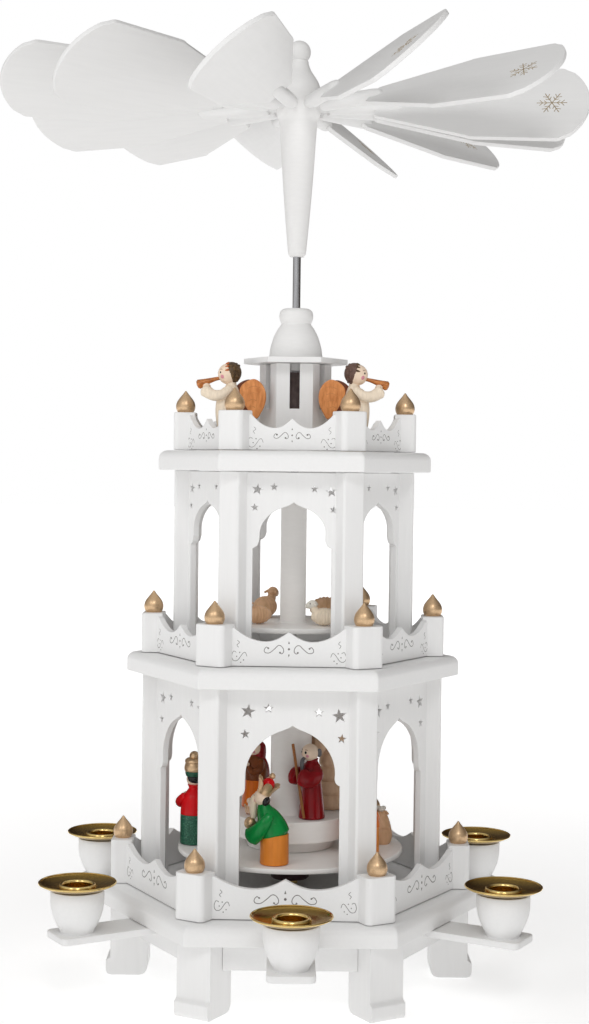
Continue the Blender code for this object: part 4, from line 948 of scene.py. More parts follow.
def dome():
    """Turned cap on the turret, with a bead at its top and the spigot under it."""
    under = low("bearing_dome") + SPIGOT
    flare = DOME_RADIUS - DOME_NECK
    slope = [
        (DOME_RADIUS, 0.6 / DOME_HEIGHT), (DOME_RADIUS - 0.5, 0.085), (DOME_NECK + 0.88 * flare, 0.2),
        (DOME_NECK + 0.62 * flare, 0.42), (DOME_NECK + 0.3 * flare, 0.58), (DOME_NECK, 0.685),
        (DOME_NECK + 0.15, 0.715),
    ]
    bead = [(0.96, 0.77), (1.0, 0.855), (0.94, 0.945), (0.76, 0.995), (0.6, 1.0)]
    outside = through([(x, z * DOME_HEIGHT) for x, z in slope], 5)
    outside += through([(x * DOME_BEAD, z * DOME_HEIGHT) for x, z in bead], 4)
    profile = [(SPINDLE_BORE, -SPIGOT), (11.5, -SPIGOT), (11.5, 0.0), (DOME_RADIUS - 0.6, 0.0)] + outside
    bush_floor = DOME_HEIGHT - BUSH_DEPTH
    profile += [(BUSH_BORE, DOME_HEIGHT), (BUSH_BORE, bush_floor), (SPINDLE_BORE, bush_floor)]
    piece = Piece("bearing_dome_turned", shift(0, 0, under))
    piece.add(lathe(profile, 80, closed=True), WHITE_TURNED)
    piece.finish("tower", "white_lacquer", "bearing_dome")


SPINDLE_RADIUS = 2.5
# Size and height of the dark sleeve that paints shade inside the turret.
SHADE_SLEEVE_RADIUS = 4.1
SHADE_SLEEVE_RISE = 18.0


def axle():
    """Bright spindle with a ground point, and a dark sleeve on it in the turret, painted shade for the
    turret's shadowed inside.
    """
    tip = low("axle")
    top = high("axle")
    profile = [(0.0, tip), (0.5, tip + 0.3), (2.35, tip + 2.8), (SPINDLE_RADIUS, tip + 3.4)]
    profile += [(SPINDLE_RADIUS, top - 0.4), (2.1, top), (0.0, top)]
    piece = Piece("axle_rod")
    piece.add(lathe(profile, 40), STEEL)
    # Dark sleeve round the spindle inside the turret: painted shade.
    lower, upper = low("turret") + SHADE_SLEEVE_RISE, low("bearing_dome") - 0.8
    shade_sleeve = [(2.4, lower), (SHADE_SLEEVE_RADIUS, lower), (SHADE_SLEEVE_RADIUS, upper), (2.4, upper)]
    piece.add(lathe(shade_sleeve, 40, closed=True), SHADE_SLEEVE_BROWN)
    piece.finish("carousel", "polished_steel", "axle")


HUB_HEIGHT = 138.0
PIVOT_RADIUS = 5.0


def pivot():
    """Brass cup on the base plate for the spindle's point."""
    piece = Piece("pivot_bearing_cup", shift(0, 0, low("pivot_bearing")))
    cup = [(0.0, 3.0), (3.6, 6.0), (PIVOT_RADIUS - 0.5, 6.0), (PIVOT_RADIUS, 5.4)]
    cup += [(PIVOT_RADIUS, 0.3), (PIVOT_RADIUS - 0.3, 0.0), (0.0, 0.0)]
    piece.add(lathe(cup, 48), BRASS_BRIGHT)
    piece.finish("tower", "brass_plate", "pivot_bearing")


HUB_RADIUS = 14.0
HUB_BALL = 7.4
HUB_NECK = (
    (6.0, 124.6), (6.3, 122.6), (7.4, 119.6), (9.0, 116.8), (11.2, 113.6), (12.9, 110.5), (13.8, 107.4),
    (14.0, 105.0),
)
HUB_TAPER = (
    (12.2, 86.8), (11.4, 76.0), (10.3, 58.0), (8.8, 37.3), (7.2, 18.0), (5.9, 4.0), (5.3, 1.2), (4.4, 0.0),
)
DISC_BORE = 2.8


def hub():
    """Turned hub: tapered stem, drum for the paddles, shoulder, neck and ball."""
    middle = HUB_HEIGHT - HUB_BALL
    crown = []
    for step in range(13):
        angle = math.radians(90 - step * 135 / 12)
        crown.append((max(0.0, HUB_BALL * math.cos(angle)), middle + HUB_BALL * math.sin(angle)))
    drum = [(HUB_RADIUS, 100.0), (HUB_RADIUS, 92.0), (13.9, 90.3), (13.2, 88.6)]
    profile = crown + through(HUB_NECK, 4) + drum + through(HUB_TAPER, 4)
    profile += [(DISC_BORE, 0.0), (DISC_BORE, 80.0), (0.0, 80.0)]
    piece = Piece("rotor_hub_turned", shift(0, 0, low("rotor_hub")))
    piece.add(lathe(profile, 80), WHITE_TURNED)
    piece.finish("carousel", "white_lacquer", "rotor_hub")


# Azimuth, rise and pitch of each paddle in degrees, and how far it stands out of its stem
BLADES = (
    (-11, -1, 39, 5), (22.5, 1, 44, 4), (51, 0, 38, 10), (79.5, -1, 55, 0), (108, 0, 42, 0),
    (136.5, 0, 40, 6), (164.5, 1, 42, 6), (194.5, 3, 39, 0), (225.5, 1, 31, 4), (255, 0, 31, 0),
    (286, 2.5, 35, 5), (317.5, 0, 38, 7),
)
BLADE_THICKNESS = 3.0
ROTOR_LEVEL = 557.2
BLADE_CORNER = 169.0
BLADE_HALF = 30.8
BLADE_TIP = 184.5


def blade_outline():
    """Paddle seen square on, its length along -Y."""
    corner = BLADE_CORNER
    half = BLADE_HALF
    tip = BLADE_TIP
    bulge = tip - corner
    radius = (half**2 + bulge**2) / (2 * bulge)
    edge = [(8.5, 50.0), (9.6, 52.0)]
    edge += through([(27.0, 109.0), (28.2, 112.0), (28.6, 116.0)], 3)
    edge += through([(half, corner - 4.5), (half - 0.35, corner - 2.0), (half - 1.8, corner + 0.3)], 3)
    arc_points = []
    for step in range(1, 12):
        x = (half - 1.8) * (1 - step / 12)
        arc_points.append((x, tip - radius + math.sqrt(radius**2 - x**2)))
    right = [(x, -y) for x, y in edge + arc_points]
    return right + [(0.0, -tip)] + [(-x, y) for x, y in reversed(right)]


SNOW_AT = 161.0
SNOW_ARM = 9.4


def snowflake(piece, reach_out):
    """Burned snowflake near a paddle's tip, on its upper face."""
    place = shift(0, -reach_out, BLADE_THICKNESS / 2)
    for index in range(6):
        aim = place @ turn(60 * index + 30)
        lines = [([(0.0, 0.0), (SNOW_ARM / 2, 0.0), (SNOW_ARM, 0.0)], 0.6)]
        for root, length in ((0.34, 0.3), (0.6, 0.34)):
            start, end = SNOW_ARM * root, SNOW_ARM * (root + length * 0.62)
            for sign in (-1, 1):
                reach = sign * SNOW_ARM * length * 0.72
                lines.append(([(start, 0.0), ((start + end) / 2, reach / 2), (end, reach)], 0.5))
        for points, width in lines:
            piece.add(stroke(points, width, LINE_PROUD, 1), BURNED_SNOW, aim)


STEM = (
    (0.0, 68.0), (1.6, 67.8), (3.2, 66.6), (4.2, 64.0), (4.5, 60.0), (4.6, 40.0), (4.5, 24.0), (4.2, 21.0),
    (3.6, 20.0), (2.0, 20.0), (2.0, 9.6), (1.7, 9.3), (0.0, 9.3),
)


def blades():
    """Twelve paddles, some glued less deep than others in the slot of the turned stem."""
    hub_level = shift(0, 0, ROTOR_LEVEL * TO_METRES)
    for index, (azimuth, rise, pitch, slide) in enumerate(BLADES):
        number = f"{index + 1:02d}"
        paddle = Piece("paddle_" + number)
        # The paddles' greyer white is painted shade.
        paddle.add(board([blade_outline()], BLADE_THICKNESS, 0.7), BLADE_SHADED_WHITE, shift(0, -slide, 0))
        paddle.add(lathe(STEM, 28), BLADE_SHADED_WHITE, UPRIGHT)
        snowflake(paddle, SNOW_AT + slide)
        place = hub_level @ turn(azimuth) @ turn(-rise, "X") @ turn(-pitch, "Y")
        name = "blade_" + number
        show(name + "_paddle", paddle.mesh(), "paddle_" + number, "white_lacquer", name, matrix=place)


# Turning stages

DISC_EDGE = 1.1


def disc_edge(radius, lower, upper, ease=DISC_EDGE):
    """Rounded rim of a disc, from its top face down."""
    return [
        (radius - ease, upper), (radius - 0.3 * ease, upper - 0.3 * ease), (radius, upper - ease),
        (radius, lower + ease), (radius - 0.3 * ease, lower + 0.3 * ease), (radius - ease, lower),
    ]


LOWER_RADIUS = 72.5
RAISED_RADIUS = 37.0
UPPER_RADIUS = 50.0
DISC_THICKNESS = 3.4
BOSS_RADIUS = 12.3
BOSS_ROOM = 1.2
LOWER_COLUMN = 13.2
UPPER_COLUMN = 8.3
RAISED_RISE = 21.0
SPACER_RADIUS = 28.0
SPACER_HEIGHT = 7.0


def stage_piece(node, profile, steps):
    """Turned disc with a bore, ready for more parts."""
    piece = Piece(node + "_turned")
    # Painted light: the discs take a brighter white than the lacquer.
    piece.add(lathe(profile, steps, closed=True), WHITE_DISCS_PAINTED_LIGHT)
    return piece


def lower_disc():
    """Lower turning disc with the boss under it, hollow over the pivot cup."""
    boss_end = low("lower_disc")
    top = high("lower_disc")
    under = top - DISC_THICKNESS
    profile = [(DISC_BORE, top)] + disc_edge(LOWER_RADIUS, under, top) + [(DISC_BORE, under)]
    piece = stage_piece("lower_disc", profile, 128)
    ceiling = high("pivot_bearing") + BOSS_ROOM
    room = PIVOT_RADIUS + BOSS_ROOM
    boss = [
        (DISC_BORE, under + 0.2), (BOSS_RADIUS, under + 0.2), (BOSS_RADIUS, boss_end + 0.8),
        (BOSS_RADIUS - 0.8, boss_end), (room, boss_end), (room, ceiling), (DISC_BORE, ceiling),
    ]
    piece.add(lathe(boss, 64, closed=True), BOSS_BROWN)
    piece.finish("carousel", "white_lacquer", "lower_disc")


def raised_stage():
    """Inner disc on its spacer, with the lower column."""
    spacer = low("raised_stage")
    ledge = spacer + SPACER_HEIGHT
    column_top = high("raised_stage")
    foot = [(LOWER_COLUMN, 12.0), (LOWER_COLUMN, 9.0), (13.9, 4.4), (15.2, 1.4), (16.4, 0.0)]
    profile = [(DISC_BORE, column_top), (LOWER_COLUMN - 0.5, column_top), (LOWER_COLUMN, column_top - 0.5)]
    profile += through([(x, RAISED_STAGE + z) for x, z in foot], 4)
    profile += disc_edge(RAISED_RADIUS, ledge, RAISED_STAGE, 1.0)
    profile += [(SPACER_RADIUS, ledge), (SPACER_RADIUS, spacer), (DISC_BORE, spacer)]
    stage_piece("raised_stage", profile, 96).finish("carousel", "white_lacquer", "raised_stage")


def upper_stage():
    """Upper turning disc with the upper column."""
    under = low("upper_stage")
    column_top = high("upper_stage")
    profile = [(DISC_BORE, column_top), (UPPER_COLUMN - 0.4, column_top), (UPPER_COLUMN, column_top - 0.5)]
    profile += [(UPPER_COLUMN, UPPER_STAGE + 1.0), (UPPER_COLUMN + 0.7, UPPER_STAGE)]
    profile += disc_edge(UPPER_RADIUS, under, UPPER_STAGE) + [(DISC_BORE, under)]
    stage_piece("upper_stage", profile, 112).finish("carousel", "white_lacquer", "upper_stage")


LOWER_STAGE = high("lower_disc")
RAISED_STAGE = low("raised_stage") + RAISED_RISE
UPPER_STAGE = low("upper_stage") + DISC_THICKNESS
TOP_FLOOR = high("top_plate")


# Figures, made facing +X

BROW = ((1.0, 0.26, 0.3), (0.95, 0.46, 0.36), (0.85, 0.64, 0.28))


def head(piece, centre, radius, eyes=1.0, cheeks=True, lift=0.12, look=0.0):
    """Turned doll head with dabbed eyes and cheeks, its face turned aside by the angle look."""
    piece.beads(FLESH, (radius, *centre))
    about = Matrix.Translation(centre) @ turn(look) @ Matrix.Translation(-Vector(centre))
    eye = (0.075 * radius + 0.12) * eyes
    for mirror in (-1, 1):
        piece.add(dab(centre, radius, (1.0, 0.44 * mirror, lift), eye, 1.2), BLACK, about)
        ways = [Vector((ahead, aside * mirror, lift + above)) for ahead, aside, above in BROW]
        points = [Vector(centre) + way.normalized() * radius for way in ways]
        piece.add(tube(points, (0.08 * eyes, 0.15 * eyes, 0.08 * eyes), 6, 3), BROWN, about)
        if cheeks:
            cheek = dab(centre, radius, (0.86, 0.62 * mirror, -0.34), 0.2 * radius, 1.0, 0.12)
            piece.add(cheek, CHEEK, about)


def sleeve(piece, points, radii, color, squash=0.85):
    """Pair of sleeves, given on the left side and mirrored."""
    for mirror in (-1, 1):
        path = [(x, y * mirror, z) for x, y, z in points]
        piece.add(tube(path, radii, 20, 5, squash), color)


def skirt(radius, height):
    """Turned skirt with eased edges, a little narrower above."""
    top = radius - 0.1
    edge = [(radius - 0.4, 0.0), (radius, 0.4), (top, height - 0.4), (top - 0.4, height)]
    return lathe([(0.0, 0.0)] + edge + [(0.0, height)], 56)


PETALS = 6
PETAL_LEVELS = 7
PETAL_WALL = 0.8
PETAL_STEPS = 108


def petal_cup(low_radius, high_radius, band, petal):
    """Crown: a flared band whose rim rises into leaf points."""
    shape = bmesh.new()
    outer, inner = [], []
    for rows, inset in ((outer, 0.0), (inner, PETAL_WALL)):
        for level in range(PETAL_LEVELS + 1):
            row = []
            for angle in circle_angles(PETAL_STEPS):
                leaf = abs(math.cos(PETALS * angle / 2)) ** 0.4
                height = (band + petal * leaf) * level / PETAL_LEVELS
                share = height / (band + petal)
                radius = low_radius + (high_radius - low_radius) * share**1.6 - inset
                row.append(shape.verts.new((radius * math.cos(angle), radius * math.sin(angle), height)))
            rows.append(row)
    loops = outer + inner[::-1]
    for first, second in zip(loops, loops[1:] + loops[:1]):
        bridge(shape, first, second)
    return new_mesh(shape)


def green_king():
    """Kneeling king who leans forward with a gift."""
    piece = Piece("king_green_figure", spot(58.5, -8, LOWER_STAGE + GAP, 172))
    piece.add(skirt(8.85, 18.6), ORANGE)
    coat = [(-0.3, 0, 18.3), (1.2, 0, 22.4), (3.9, 0, 28.0), (6.2, 0, 32.6), (7.2, 0, 36.2)]
    piece.add(tube(coat, (9.2, 8.8, 7.4, 5.2, 3.4), 48, 6), GREEN)
    head(piece, (8.6, 0.0, 40.3), 4.9, lift=0.08)
    beard = [(11.8, 0, 42.4), (13.2, 0, 39.6), (13.6, 0, 34.6), (13.2, 0, 28.0)]
    piece.add(tube(beard, (1.0, 2.0, 2.3, 1.8), 16, 5, 1.6), BEARD)
    piece.beads(BLACK, (2.75, 5.7, 0, 38.4, (0.95, 1.78, 1.4)))
    crown_at = shift(7.0, 0, 43.0) @ turn(-26, "Y")
    piece.add(petal_cup(4.4, 7.9, 2.4, 6.3), GOLD_PAINT, crown_at @ turn(-18))
    piece.add(lathe([(0.0, 3.2), (4.7, 3.2), (4.3, 0.2), (0.0, 0.2)], 40), GOLD_PAINT, crown_at)
    cap = through([(0.0, 10.4), (1.6, 10.0), (3.2, 8.7), (4.0, 6.6), (4.1, 3.0)], 4)
    piece.add(lathe(cap + [(0.0, 3.0)], 36), RED, crown_at)
    piece.add(ball(1.95, 0, 0, 12.0), GOLD_PAINT, crown_at)
    arm = [(2.0, 7.2, 30.6), (4.6, 8.6, 26.0), (9.2, 7.6, 20.4), (13.4, 5.6, 17.0)]
    sleeve(piece, arm, (2.8, 3.9, 5.1, 5.8), GREEN, 0.72)
    piece.beads(GOLD_PAINT, (3.7, 15.4, 0, 24.2, (1, 1, 1.06)))
    piece.finish("carousel", "green_lacquer", "king_green")


def red_king():
    """Standing king in a bell-shaped coat over a speckled skirt."""
    piece = Piece("king_red_figure", spot(62.5, -87, LOWER_STAGE + GAP, 120))
    piece.add(skirt(8.85, 19.2), SKIRT)
    coat = [
        (8.5, 18.9), (8.75, 19.6), (8.6, 22.5), (7.9, 27.0), (6.5, 31.2), (4.6, 34.0), (3.6, 35.4),
        (3.7, 36.6), (4.3, 38.0),
    ]
    piece.add(turned(coat, 5), RED)
    head(piece, (0.3, 0.0, 41.4), 4.85)
    piece.beads(BLACK, (4.9, -0.9, 0, 42.3, (0.88, 1.0, 0.92)))
    band = [(4.7, 43.2), (5.35, 43.6), (5.85, 45.2), (5.9, 46.8), (5.4, 47.2), (0.0, 47.2), (0.0, 43.2)]
    piece.add(lathe(band, 48), GREEN_BAND)
    hat = [
        (5.7, 46.4), (6.35, 47.4), (6.45, 49.4), (6.0, 51.2), (5.7, 51.9), (6.1, 52.6), (5.9, 54.0),
        (4.6, 55.0), (3.6, 55.2),
    ]
    piece.add(turned(hat, 4, 48), GOLD_PAINT)
    piece.beads(GOLD_PAINT, (3.3, 0, 0, 56.3, (1, 1, 0.98)))
    arm = [(1.6, 6.2, 30.6), (5.6, 7.9, 26.6), (9.2, 5.0, 24.6), (10.8, 1.8, 27.2)]
    sleeve(piece, arm, (2.6, 2.9, 2.6, 1.9), RED)
    piece.beads(GOLD_PAINT, (2.6, 11.2, 0, 29.0))
    piece.finish("carousel", "red_lacquer", "king_red")


def orange_king():
    """King who bows low, in orange, with a gold hat."""
    piece = Piece("king_orange_figure", spot(54.3, 62.6, LOWER_STAGE + GAP, 110))
    piece.add(skirt(8.75, 17.4), ORANGE)
    coat = [(0.0, 0, 16.6), (0.6, 0, 20.6), (1.8, 0, 25.0), (3.0, 0, 28.0)]
    piece.add(tube(coat, (9.0, 8.8, 7.2, 4.6), 48, 6), DEEP_ORANGE)
    head(piece, (3.2, 0.0, 29.6), 4.8)
    piece.beads(BLACK, (4.9, 2.0, 0, 30.4, (0.9, 1.0, 0.9)))
    hat = [(5.1, 31.2), (5.8, 32.4), (6.0, 35.0), (5.3, 38.1), (3.3, 40.4), (0.0, 41.3)]
    piece.add(lathe([(0.0, 31.2)] + through(hat, 4), 44), GOLD_PAINT, shift(2.8, 0, 0))
    sleeve(piece, [(1.2, 6.6, 24.6), (5.0, 8.4, 20.8), (11.0, 5.6, 19.0)], (2.5, 3.4, 3.9), DEEP_ORANGE)
    piece.beads(GOLD_PAINT, (2.6, 12.2, 0, 20.6))
    piece.finish("carousel", "orange_lacquer", "king_orange")


def joseph():
    """Bald, bearded man in a dark red robe, with a staff."""
    piece = Piece("joseph_figure", spot(25.6, 33, RAISED_STAGE + GAP, 215))
    robe = [
        (8.0, 0.0), (8.35, 0.5), (8.2, 3.0), (7.6, 9.0), (6.7, 17.0), (6.1, 22.0), (6.1, 26.0), (6.2, 29.6),
        (5.4, 33.0), (3.9, 35.4), (3.6, 36.6), (4.0, 37.8),
    ]
    piece.add(turned(robe), DARK_RED)
    head(piece, (1.6, 0.0, 41.7), 5.5, eyes=1.5, lift=0.1)
    piece.beads(GREY, *[(2.2, -2.6, 4.0 * mirror, 41.6, (0.9, 0.5, 1.25)) for mirror in (-1, 1)])
    beard = [(5.8, 0, 39.0), (7.5, 0, 36.6), (7.9, 0, 32.6), (7.3, 0, 28.4)]
    piece.add(tube(beard, (0.6, 1.0, 0.8, 0.3), 16, 5, 2.0), GREY)
    arm = [(0.2, 5.2, 33.0), (1.2, 7.8, 28.8), (5.8, 7.4, 25.8), (11.2, 4.8, 27.4)]
    sleeve(piece, arm, (2.6, 4.6, 5.4, 5.6), DARK_RED, 0.6)
    staff = [(12.0, -4.2, 47.0), (10.9, -1.6, 32.0), (9.6, 1.2, 16.0), (8.2, 3.6, 1.2)]
    piece.add(tube(staff, (0.95, 0.95, 0.9, 0.9), 12, 4), STAFF)
    piece.finish("carousel", "dark_red_lacquer", "joseph")


def mary():
    """Woman in a red hood and a brown cloak over an orange robe."""
    piece = Piece("mary_figure", spot(27.5, -122, RAISED_STAGE + GAP, -135))
    robe = [(9.1, 0.0), (9.4, 0.5), (9.2, 3.0), (8.5, 9.0), (7.8, 15.0), (7.3, 19.0), (6.9, 21.0)]
    piece.add(turned(robe), DEEP_ORANGE)
    cloak = [(7.4, 17.4), (8.0, 18.4), (8.1, 22.0), (7.3, 27.0), (5.9, 30.6), (4.4, 32.8), (3.4, 33.6)]
    piece.add(turned(cloak), BROWN)
    head(piece, (0.8, 0.0, 37.4), 4.6)
    hood = [(-2.6, 0, 19.0), (-2.2, 0, 25.0), (-1.4, 0, 31.0)]
    hood += [(-1.8, 0, 34.6), (-1.5, 0, 38.8), (-0.4, 0, 41.4)]
    piece.add(tube(hood, (7.4, 7.0, 5.4, 5.2, 5.0, 2.6), 36, 6), DARK_RED)
    arm = [(0.6, 5.2, 30.2), (2.6, 6.8, 26.0), (6.6, 4.4, 23.4), (8.2, 1.6, 26.4)]
    sleeve(piece, arm, (2.3, 2.6, 2.4, 1.8), BROWN)
    piece.beads(FLESH, *[(1.3, 8.4, 1.1 * mirror, 28.2) for mirror in (-1, 1)])
    piece.finish("carousel", "red_lacquer", "mary")


def crib():
    """Manger with a swaddled child."""
    piece = Piece("crib_figure", spot(28.0, -57, RAISED_STAGE + GAP, 120))
    sides = [(-6.4, 5.4), (6.4, 5.4), (5.0, 1.0), (-5.0, 1.0)]
    for mirror in (-1, 1):
        wall = shift(0, 3.2 * mirror, 0) @ turn(14 * mirror, "X") @ UPRIGHT
        piece.add(board([sides], 1.2, 0.3), PALE_WOOD, wall)
        for x in (-4.2, 4.2):
            leg = [(x - 0.6, 2.6 * mirror, 0.3), (x, 2.9 * mirror, 3.0), (x + 0.4, 3.6 * mirror, 6.2)]
            piece.add(tube(leg, (0.7, 0.7, 0.6), 10, 3), PALE_WOOD)
    bed = [(-5.6, 0, 2.2), (-3.0, 0, 3.2), (3.0, 0, 3.4), (5.6, 0, 2.6)]
    piece.add(tube(bed, (1.6, 2.6, 2.6, 1.6), 20, 4, 1.2), TAN)
    child = [(-5.2, 0, 5.4), (-2.0, 0, 6.0), (1.8, 0, 6.3), (3.6, 0, 6.4)]
    piece.add(tube(child, (1.0, 2.1, 2.4, 1.6), 20, 5, 1.15), WOOL)
    head(piece, (5.1, 0.0, 7.9), 1.95, cheeks=False)
    piece.finish("carousel", "cream_paint", "crib")


PALM_TRUNK = 46.0
PALM_TIERS = 5


def palm():
    """Turned palm: a ringed trunk, a crown of thick leaves."""
    piece = Piece("palm_tree_figure", spot(27.5, 112, RAISED_STAGE + GAP, 0))
    trunk = []
    for index in range(PALM_TIERS):
        base = PALM_TRUNK * index / PALM_TIERS
        radius = 9.2 - 0.55 * index
        tier = ((0.84, 0.1), (1.0, 2.4), (0.97, 5.4), (0.86, 8.4))
        trunk += [(share * radius, base + rise) for share, rise in tier]
    trunk += [(5.4, PALM_TRUNK), (4.6, 52.0)]
    piece.add(lathe([(0.0, 0.0)] + through(trunk, 3) + [(0.0, 52.0)], 48), PALE_WOOD)
    for index in range(6):
        leaf = [(0.5, 0, 46.4), (5.4, 0, 49.4), (10.4, 0, 46.6), (12.8, 0, 41.4), (12.9, 0, 37.0)]
        piece.add(tube(leaf, (2.6, 3.8, 4.0, 3.0, 1.0), 16, 5, 1.3), PALE_WOOD, turn(60 * index))
    piece.add(tube([(0, 0, 48.0), (0, 0, 53.0), (0, 0, 57.6)], (5.4, 4.2, 1.6), 20, 5), PALE_WOOD)
    piece.finish("carousel", "bare_wood", "palm_tree")


FLEECE_RIBS = 7
FLEECE_STEPS = 36
FLEECE_WIDTH = 0.37
SHEEP_HEAD = 0.86


def sheep(name, place, length, fleece, face, slot, *nodes):
    """Lying sheep with a ribbed fleece, its measures as shares of its length."""
    piece = Piece(name, place)

    def limb(points, radii, color, sides, per):
        path = [tuple(length * value for value in point) for point in points]
        piece.add(tube(path, [length * radius for radius in radii], sides, per), color)

    spine = []
    girth = []
    for step in range(FLEECE_STEPS + 1):
        share = step / FLEECE_STEPS
        swell = math.sin(math.pi * (0.08 + 0.84 * share)) ** 0.45
        girth.append(FLEECE_WIDTH * swell * (1.0 + 0.045 * math.cos(2 * math.pi * FLEECE_RIBS * share)))
        spine.append((-0.5 + 0.92 * share, 0.0, FLEECE_WIDTH * 1.02))
    limb(spine, girth, fleece, 28, 1)
    limb([(0.24, 0, 0.45), (0.36, 0, 0.64), (0.44, 0, 0.78)], (0.2, 0.17, 0.14), fleece, 20, 4)
    muzzle = [(0.32, 0.0), (0.46, 0.02), (0.62, -0.03), (0.74, -0.08)]
    muzzle = [(x, 0, SHEEP_HEAD + rise) for x, rise in muzzle]
    limb(muzzle, (0.13, 0.19, 0.155, 0.085), face, 20, 5)
    for mirror in (-1, 1):
        ear = [(0.36, 0.12 * mirror, SHEEP_HEAD + 0.07), (0.3, 0.24 * mirror, SHEEP_HEAD)]
        limb(ear, (0.05, 0.04), face, 10, 3)
        eye = (0.53 * length, 0.155 * length * mirror, (SHEEP_HEAD + 0.05) * length)
        piece.add(ball(0.036 * length, *eye, detail=12), BLACK)
    limb([(-0.46, 0, 0.42), (-0.54, 0, 0.3)], (0.06, 0.04), fleece, 10, 3)
    piece.finish("carousel", slot, *nodes)


def tan_lamb():
    """Sitting lamb with a white tuft and red eyes."""
    piece = Piece("lamb_tan_figure", spot(59.2, 97, LOWER_STAGE + GAP, 95))
    lump = [(0.5, 0, 1.2), (-0.6, 0, 5.0), (0.4, 0, 9.0), (0.0, 0, 13.0), (1.6, 0, 17.0), (2.4, 0, 20.0)]
    piece.add(tube(lump, (6.6, 7.4, 7.0, 6.0, 4.5, 3.3), 32, 6), TAN)
    piece.add(tube([(2.0, 0, 18.4), (5.0, 0, 18.8), (7.8, 0, 17.4)], (3.2, 2.8, 1.7), 20, 5), TAN)
    tuft = ((2.2, -0.6, 0, 22.0), (1.8, 1.2, 1.7, 22.4), (1.8, 1.4, -1.7, 22.3), (1.7, 3.0, 0, 21.8))
    piece.beads(WOOL, *[(*place, (1, 1, 0.8)) for place in tuft])
    for mirror in (-1, 1):
        piece.add(ball(0.55, 4.4, 2.6 * mirror, 19.6, detail=12), RED)
        piece.add(tube([(1.0, 3.0 * mirror, 20.0), (-0.4, 4.6 * mirror, 18.6)], (1.0, 0.7), 10, 3), TAN)
        piece.add(tube([(3.0, 3.4 * mirror, 1.4), (6.6, 3.0 * mirror, 1.2)], (1.6, 1.2), 14, 3), TAN)
    piece.finish("carousel", "bare_wood", "lamb_tan")


def flock():
    """Sheep on the upper disc and the tan lamb on the lower one."""
    stand = UPPER_STAGE + GAP
    front = spot(34.0, 36, stand, 170)
    sheep("sheep_white_figure", front, 15.0, CREAM, WOOL, "cream_paint", "sheep_white")
    tan_lamb()
    for name, radius, azimuth, facing, length in (
        ("sheep_brown", 30.0, -47, 205, 15.5),
        ("sheep_back_left", 33.6, -146, 60, 18.5),
        ("sheep_back_right", 33.0, 139, 10, 19.0),
    ):
        sheep(name, spot(radius, azimuth, stand, facing), length, TAN, TAN, "bare_wood")


def teardrop():
    """Outline of a wing seen from its side: rounded above, pointed below."""
    points = [
        (-1.1, 12.5), (3.6, 11.4), (7.4, 8.4), (8.6, 4.6), (7.2, 0.2), (4.6, -4.8), (1.4, -9.4),
        (-2.6, -12.6), (-5.4, -8.8), (-7.6, -4.2), (-8.5, 0.8), (-7.8, 5.6), (-5.4, 9.8),
    ]
    return through(points, 4, closed=True)


ANGEL_HEAD = 6.7


def angel_hair(piece, centre, near, hair, tone):
    """Cap of hair with short locks over the forehead and curls behind."""
    cap = (centre[0] - 2.0, -0.5 * near, centre[2] + 0.75)
    piece.add(ball(ANGEL_HEAD + 0.35, *cap, (0.9, 1.0, 0.98), 40), hair)
    for index in range(7):
        swing = math.radians(-78 + 26 * index)
        way = Vector((0.12, math.sin(swing), math.cos(swing) + 0.1)).normalized()
        ahead = (way + Vector((0.14, 0, -0.02))).normalized()
        root = Vector((centre[0] - 1.2, 0, centre[2] + 0.3)) + way * (ANGEL_HEAD + 0.1)
        tip = Vector(centre) + ahead * ANGEL_HEAD
        piece.add(tube([root, (root + tip) / 2, tip], (0.7, 0.6, 0.25), 10, 3), tone)
    for index in range(14):
        swing = math.radians(-150 + 300 * index / 13)
        back = -0.35 - 0.35 * (index % 2)
        way = Vector((back, math.sin(swing), 0.9 * math.cos(swing) - 0.2)).normalized()
        curl = Vector((centre[0] - 2.0, 0, centre[2] + 0.6)) + way * (ANGEL_HEAD - 0.2)
        piece.add(ball(1.0, *curl, detail=12), hair)


def wing(piece, mirror, reach_back, color):
    """Wing board with a few feather lines on both faces, and the stub that carries it."""
    place = shift(reach_back, 3.4 * mirror, 32.8) @ turn(-8 * mirror) @ UPRIGHT
    piece.add(board([teardrop()], 2.4, 0.9), color, place)
    for index in range(4):
        rise = 7.0 - 4.2 * index
        feather = [(-4.8 + index, rise), (-1.0 + 0.6 * index, rise + 1.0), (3.6, rise - 0.6)]
        for face_side in (-1, 1):
            piece.add(stroke(feather, 0.3, 0.04, 4), FEATHER, place @ shift(0, 0, 1.2 * face_side))
    # The stub takes the darker wing colour, painted shade.
    stub = [(-3.0, 1.6 * mirror, 34.0), (-7.4, 2.3 * mirror, 33.2)]
    piece.add(tube(stub, (2.0, 1.4), 16, 4), WING_SHADED)


